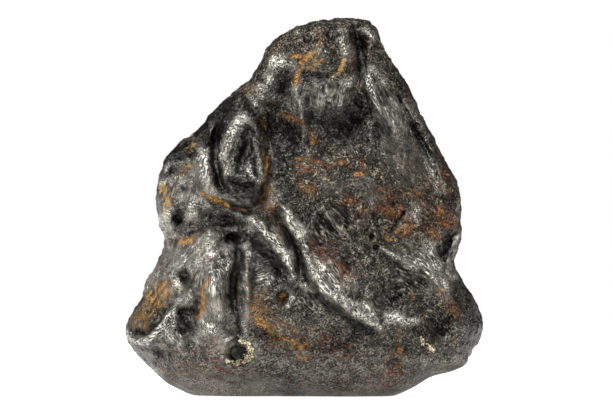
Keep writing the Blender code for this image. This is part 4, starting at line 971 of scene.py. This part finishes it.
def crust_patterns(tree):
    """The patterns that the crust is mixed from. Clouds and curls are read in place; grain, specks,
    clots and lines are read at the `flow` places, so they are drawn out along the flows. A spread
    pattern is stretched to run from 0 to 1."""
    where = add(tree, "ShaderNodeTexCoord").outputs["Object"]
    drawn = attribute(tree, "flow", "Vector")
    seen = SimpleNamespace(
        where=where,
        grain=noise(tree, drawn, 0.36, 2.0, 0.62),
        speck=noise(tree, drawn, 0.26, 0.0),
        cloud=noise(tree, where, 3.2, 3.0, 0.6),
        clot=noise(tree, drawn, 1.1, 3.0, 0.62, 0.6),
        lines=winding_lines(tree, drawn, 1.4, 4.2),
        curls=winding_lines(tree, where, 1.3, 3.6),
    )
    seen.grain_spread = stretch(tree, seen.grain, 0.37, 0.63)
    seen.speck_spread = stretch(tree, seen.speck, 0.41, 0.59)
    seen.cloud_spread = stretch(tree, seen.cloud, 0.38, 0.62)
    seen.clot_spread = stretch(tree, seen.clot, 0.34, 0.66)
    return seen


def bare_colour(tree, seen, browned, painted_reflection):
    """The crust before anything lies on it: black to pale grey over a mix of the patterns, brown
    where `browned`, a calmer grey that is painted reflection where the last share says, and tinged
    from blue-green to orange by small noise."""
    tone = mix_of(
        tree, (seen.grain_spread, 0.22), (seen.lines, 0.24), (seen.clot_spread, 0.13),
        (seen.speck_spread, 0.26), (seen.cloud_spread, 0.18),
    )
    grey = ramp(tree, tone, (
        (0.26, (0.004, 0.004, 0.003)), (0.44, (0.022, 0.021, 0.018)), (0.58, (0.068, 0.065, 0.054)),
        (0.72, (0.160, 0.155, 0.130)), (0.88, (0.38, 0.37, 0.315)),
    ))
    brown = ramp(tree, tone, (
        (0.26, (0.005, 0.004, 0.003)), (0.44, (0.015, 0.0115, 0.0075)), (0.58, (0.047, 0.036, 0.023)),
        (0.72, (0.118, 0.093, 0.060)), (0.88, (0.30, 0.245, 0.165)),
    ))
    browning = times(tree, browned, stretch(tree, seen.cloud, 0.3, 0.6, 0.35, 1.0))
    colour = blend(tree, browning, grey, brown)
    # Painted reflection: a calm mid grey that stands in for light reflected from the floor and side lights.
    painted_reflection_tone = mix_of(
        tree, (seen.grain_spread, 0.25), (seen.speck_spread, 0.30), (seen.clot_spread, 0.2),
        (seen.cloud_spread, 0.25),
    )
    painted_reflection_colour = ramp(tree, painted_reflection_tone, (
        (0.25, (0.034, 0.031, 0.029)), (0.5, (0.112, 0.103, 0.095)), (0.75, (0.26, 0.247, 0.232)),
    ))
    colour = blend(tree, times(tree, painted_reflection, 0.80), colour, painted_reflection_colour)
    tinge = ramp(tree, noise(tree, seen.where, 0.5, 2.0, 0.6), (
        (0.40, (0.72, 0.88, 0.88)), (0.50, (0.97, 0.93, 0.88)), (0.60, (1.0, 0.60, 0.32)),
    ))
    tinged = plus(tree, 0.3, times(tree, calculate(tree, "MAXIMUM", browned, painted_reflection), 0.6))
    return blend(tree, tinged, colour, tinge, "MULTIPLY")


def crust_bump(tree, seen, share):
    """The weighted sum of grain, specks, clots and lines, times `share`, lifts the surface by 0.26 mm
    for each 1 that it reaches."""
    height = mix_of(tree, (seen.grain, 0.8), (seen.speck, 0.35), (seen.clot, 1.1), (seen.lines, 0.35))
    inputs = {"Height": times(tree, height, share), "Strength": 1.0, "Distance": 0.26 * MM}
    return add(tree, "ShaderNodeBump", inputs).outputs["Normal"]


def crust_material():
    """Half-metal fusion crust. Over the bare crust lie stain, painted shade, rust, ochre, cream, and
    rubbed metal with painted highlights, each where its attribute says and toned or broken up by the
    same patterns, which also lift the bump."""
    material = bpy.data.materials.new("fusion_crust")
    material.use_nodes = True
    tree = material.node_tree
    shader = tree.nodes["Principled BSDF"]
    mask_group = ragged_mask_group()

    def mask(amount, grain, softness):
        inputs = {"Amount": amount, "Grain": grain, "Softness": softness}
        return add(tree, "ShaderNodeGroup", inputs, node_tree=mask_group).outputs["Mask"]

    seen = crust_patterns(tree)
    painted_reflection, painted_shade, cream = (attribute(tree, name) for name in ("painted_reflection", "painted_shade", "cream"))
    colour = bare_colour(tree, seen, attribute(tree, "brown"), painted_reflection)

    stain_grain = mix_of(tree, (seen.clot_spread, 0.5), (seen.curls, 0.2), (seen.grain_spread, 0.3))
    stain_mask = mask(attribute(tree, "stain"), stain_grain, 0.5)
    stain_colour = ramp(tree, seen.grain, (
        (0.36, (0.016, 0.006, 0.003)), (0.5, (0.100, 0.030, 0.009)), (0.64, (0.36, 0.120, 0.028)),
    ))
    colour = blend(tree, times(tree, stain_mask, 0.9), colour, stain_colour)

    # Painted shade: near black where the attribute marks hollows, grooves and faces turned from the light.
    painted_shade_tone = mix_of(tree, (seen.speck_spread, 0.5), (seen.grain_spread, 0.3), (seen.clot_spread, 0.2))
    painted_shade_colour = ramp(tree, painted_shade_tone, (
        (0.30, (0.002, 0.002, 0.002)), (0.55, (0.009, 0.0088, 0.008)), (0.72, (0.032, 0.031, 0.027)),
        (0.88, (0.11, 0.107, 0.092)),
    ))
    colour = blend(tree, times(tree, painted_shade, 0.96), colour, painted_shade_colour)
    # Deepest painted shade: pushed further towards black where the shade attribute is strongest.
    deepest_painted_shade = stretch(tree, painted_shade, 0.75, 1.0)
    colour = blend(tree, times(tree, deepest_painted_shade, 0.6), colour, (0.009, 0.009, 0.008, 1))

    rust_grain = mix_of(tree, (seen.clot_spread, 0.45), (seen.lines, 0.15), (seen.grain_spread, 0.4))
    rust_mask = mask(attribute(tree, "rust"), rust_grain, 0.45)
    rust_colour = ramp(tree, seen.grain, (
        (0.36, (0.045, 0.018, 0.004)), (0.5, (0.24, 0.105, 0.017)), (0.64, (0.62, 0.33, 0.070)),
    ))
    colour = blend(tree, times(tree, rust_mask, 0.88), colour, rust_colour)
    ochre_mask = mask(attribute(tree, "ochre"), rust_grain, 0.4)
    ochre_colour = ramp(tree, seen.grain, ((0.35, (0.16, 0.085, 0.02)), (0.65, (0.62, 0.40, 0.12))))
    colour = blend(tree, times(tree, ochre_mask, 0.88), colour, ochre_colour)

    cream_lines = times(tree, stretch(tree, seen.curls, 0.82, 0.97), stretch(tree, seen.clot, 0.47, 0.58))
    cream_net = times(tree, cream_lines, times(tree, cream, 0.9))
    cream_solid = mask(stretch(tree, cream, 0.5, 1.0), seen.grain_spread, 0.4)
    cream_mask = calculate(tree, "MAXIMUM", cream_net, cream_solid)
    cream_colour = ramp(tree, seen.speck, ((0.36, (0.13, 0.10, 0.052)), (0.64, (0.88, 0.79, 0.53))))
    colour = blend(tree, cream_mask, colour, cream_colour)

    # Rubbed metal and painted highlights: pale grey to near white where the attribute says, broken into
    # grains.
    wear_and_highlight_grain = mix_of(tree, (seen.grain_spread, 0.26), (seen.lines, 0.22), (seen.speck_spread, 0.52))
    wear_and_highlight_share = times(tree, attribute(tree, "wear_and_highlight"), stretch(tree, wear_and_highlight_grain, 0.38, 0.66, 1.0, 0.08))
    wear_and_highlight_share = times(tree, wear_and_highlight_share, stretch(tree, rust_mask, 0.0, 1.0, 1.0, 0.3))
    wear_and_highlight_colour = ramp(tree, wear_and_highlight_grain, (
        (0.26, (0.80, 0.79, 0.70)), (0.44, (0.48, 0.47, 0.41)), (0.60, (0.11, 0.107, 0.093)),
    ))
    colour = blend(tree, wear_and_highlight_share, colour, wear_and_highlight_colour)

    dull = calculate(tree, "MAXIMUM", calculate(tree, "MAXIMUM", rust_mask, cream_mask), ochre_mask)
    metal = mix_of(tree, (wear_and_highlight_share, 0.35), (deepest_painted_shade, 0.25), (1.0, 0.55))
    metal = times(tree, metal, calculate(tree, "SUBTRACT", 1.0, dull))
    rough = plus(tree, stretch(tree, seen.grain, 0.3, 0.7, 0.32, 0.48), times(tree, dull, 0.35))
    bump_share = calculate(tree, "SUBTRACT", 1.0, mix_of(tree, (painted_reflection, 0.35), (deepest_painted_shade, 0.45)))
    tree.links.new(colour, shader.inputs["Base Color"])
    tree.links.new(metal, shader.inputs["Metallic"])
    tree.links.new(rough, shader.inputs["Roughness"])
    tree.links.new(crust_bump(tree, seen, bump_share), shader.inputs["Normal"])
    shader.inputs["Specular IOR Level"].default_value = 0.3
    return material


def floor_material():
    material = bpy.data.materials.new("pale_floor")
    material.use_nodes = True
    tree = material.node_tree
    shader = tree.nodes["Principled BSDF"]
    shader.inputs["Base Color"].default_value = (0.9, 0.9, 0.9, 1)
    shader.inputs["Roughness"].default_value = 0.9
    shader.inputs["Emission Color"].default_value = (1.0, 1.0, 1.0, 1)
    shown = add(tree, "ShaderNodeLightPath").outputs["Is Camera Ray"]
    tree.links.new(plus(tree, times(tree, shown, 0.40), 0.50), shader.inputs["Emission Strength"])
    return material


def pale_floor():
    """A flat disc far wider than the stone."""
    bpy.ops.mesh.primitive_circle_add(vertices=96, radius=FLOOR_RADIUS, fill_type="NGON")
    floor = bpy.context.active_object
    floor.name = "floor"
    floor.data.materials.append(floor_material())
    return floor


def soft_light(name, place, size, power):
    """A square light that faces the middle of the stone."""
    data = bpy.data.lights.new(name, "AREA")
    data.size = size
    data.energy = power
    light = bpy.data.objects.new(name, data)
    bpy.context.scene.collection.objects.link(light)
    light.location = place
    light.rotation_euler = (Vector(LIGHT_AIM) - Vector(place)).to_track_quat("-Z", "Y").to_euler()


def studio():
    world = bpy.data.worlds.new("studio")
    bpy.context.scene.world = world
    world.use_nodes = True
    tree = world.node_tree
    background = tree.nodes["Background"]
    shown = add(tree, "ShaderNodeLightPath").outputs["Is Camera Ray"]
    glow = blend(tree, shown, (0.05, 0.05, 0.05, 1), (1.0, 1.0, 1.0, 1))
    tree.links.new(glow, background.inputs["Color"])
    soft_light("overhead", (-0.16, -0.12, 0.54), 0.16, 4.6)
    soft_light("left_box", (-0.52, -0.26, 0.18), 0.22, 0.8)
    soft_light("right_box", (0.52, -0.10, 0.22), 0.20, 0.9)
    soft_light("front_box", (0.10, -0.62, 0.14), 0.40, 0.5)
    bpy.context.scene.view_settings.view_transform = "Standard"


def front_camera():
    """A long lens, level, square to the front: at the stone's middle plane the view is
    VIEW_WIDTH wide."""
    data = bpy.data.cameras.new("camera")
    data.sensor_width = 36
    data.lens = -VIEWPOINT[1] * data.sensor_width / VIEW_WIDTH
    camera = bpy.data.objects.new("camera", data)
    bpy.context.scene.collection.objects.link(camera)
    camera.location = Vector(VIEWPOINT) * MM + Vector(STONE_SHIFT) * MM
    camera.rotation_euler = (math.pi / 2, 0, 0)
    data.clip_start, data.clip_end = 0.01, 20
    bpy.context.scene.camera = camera


stone = crust_stone()
stone.data.materials.append(crust_material())
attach(stone, "root")
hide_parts("meteorite")
floor = pale_floor()
studio()
front_camera()
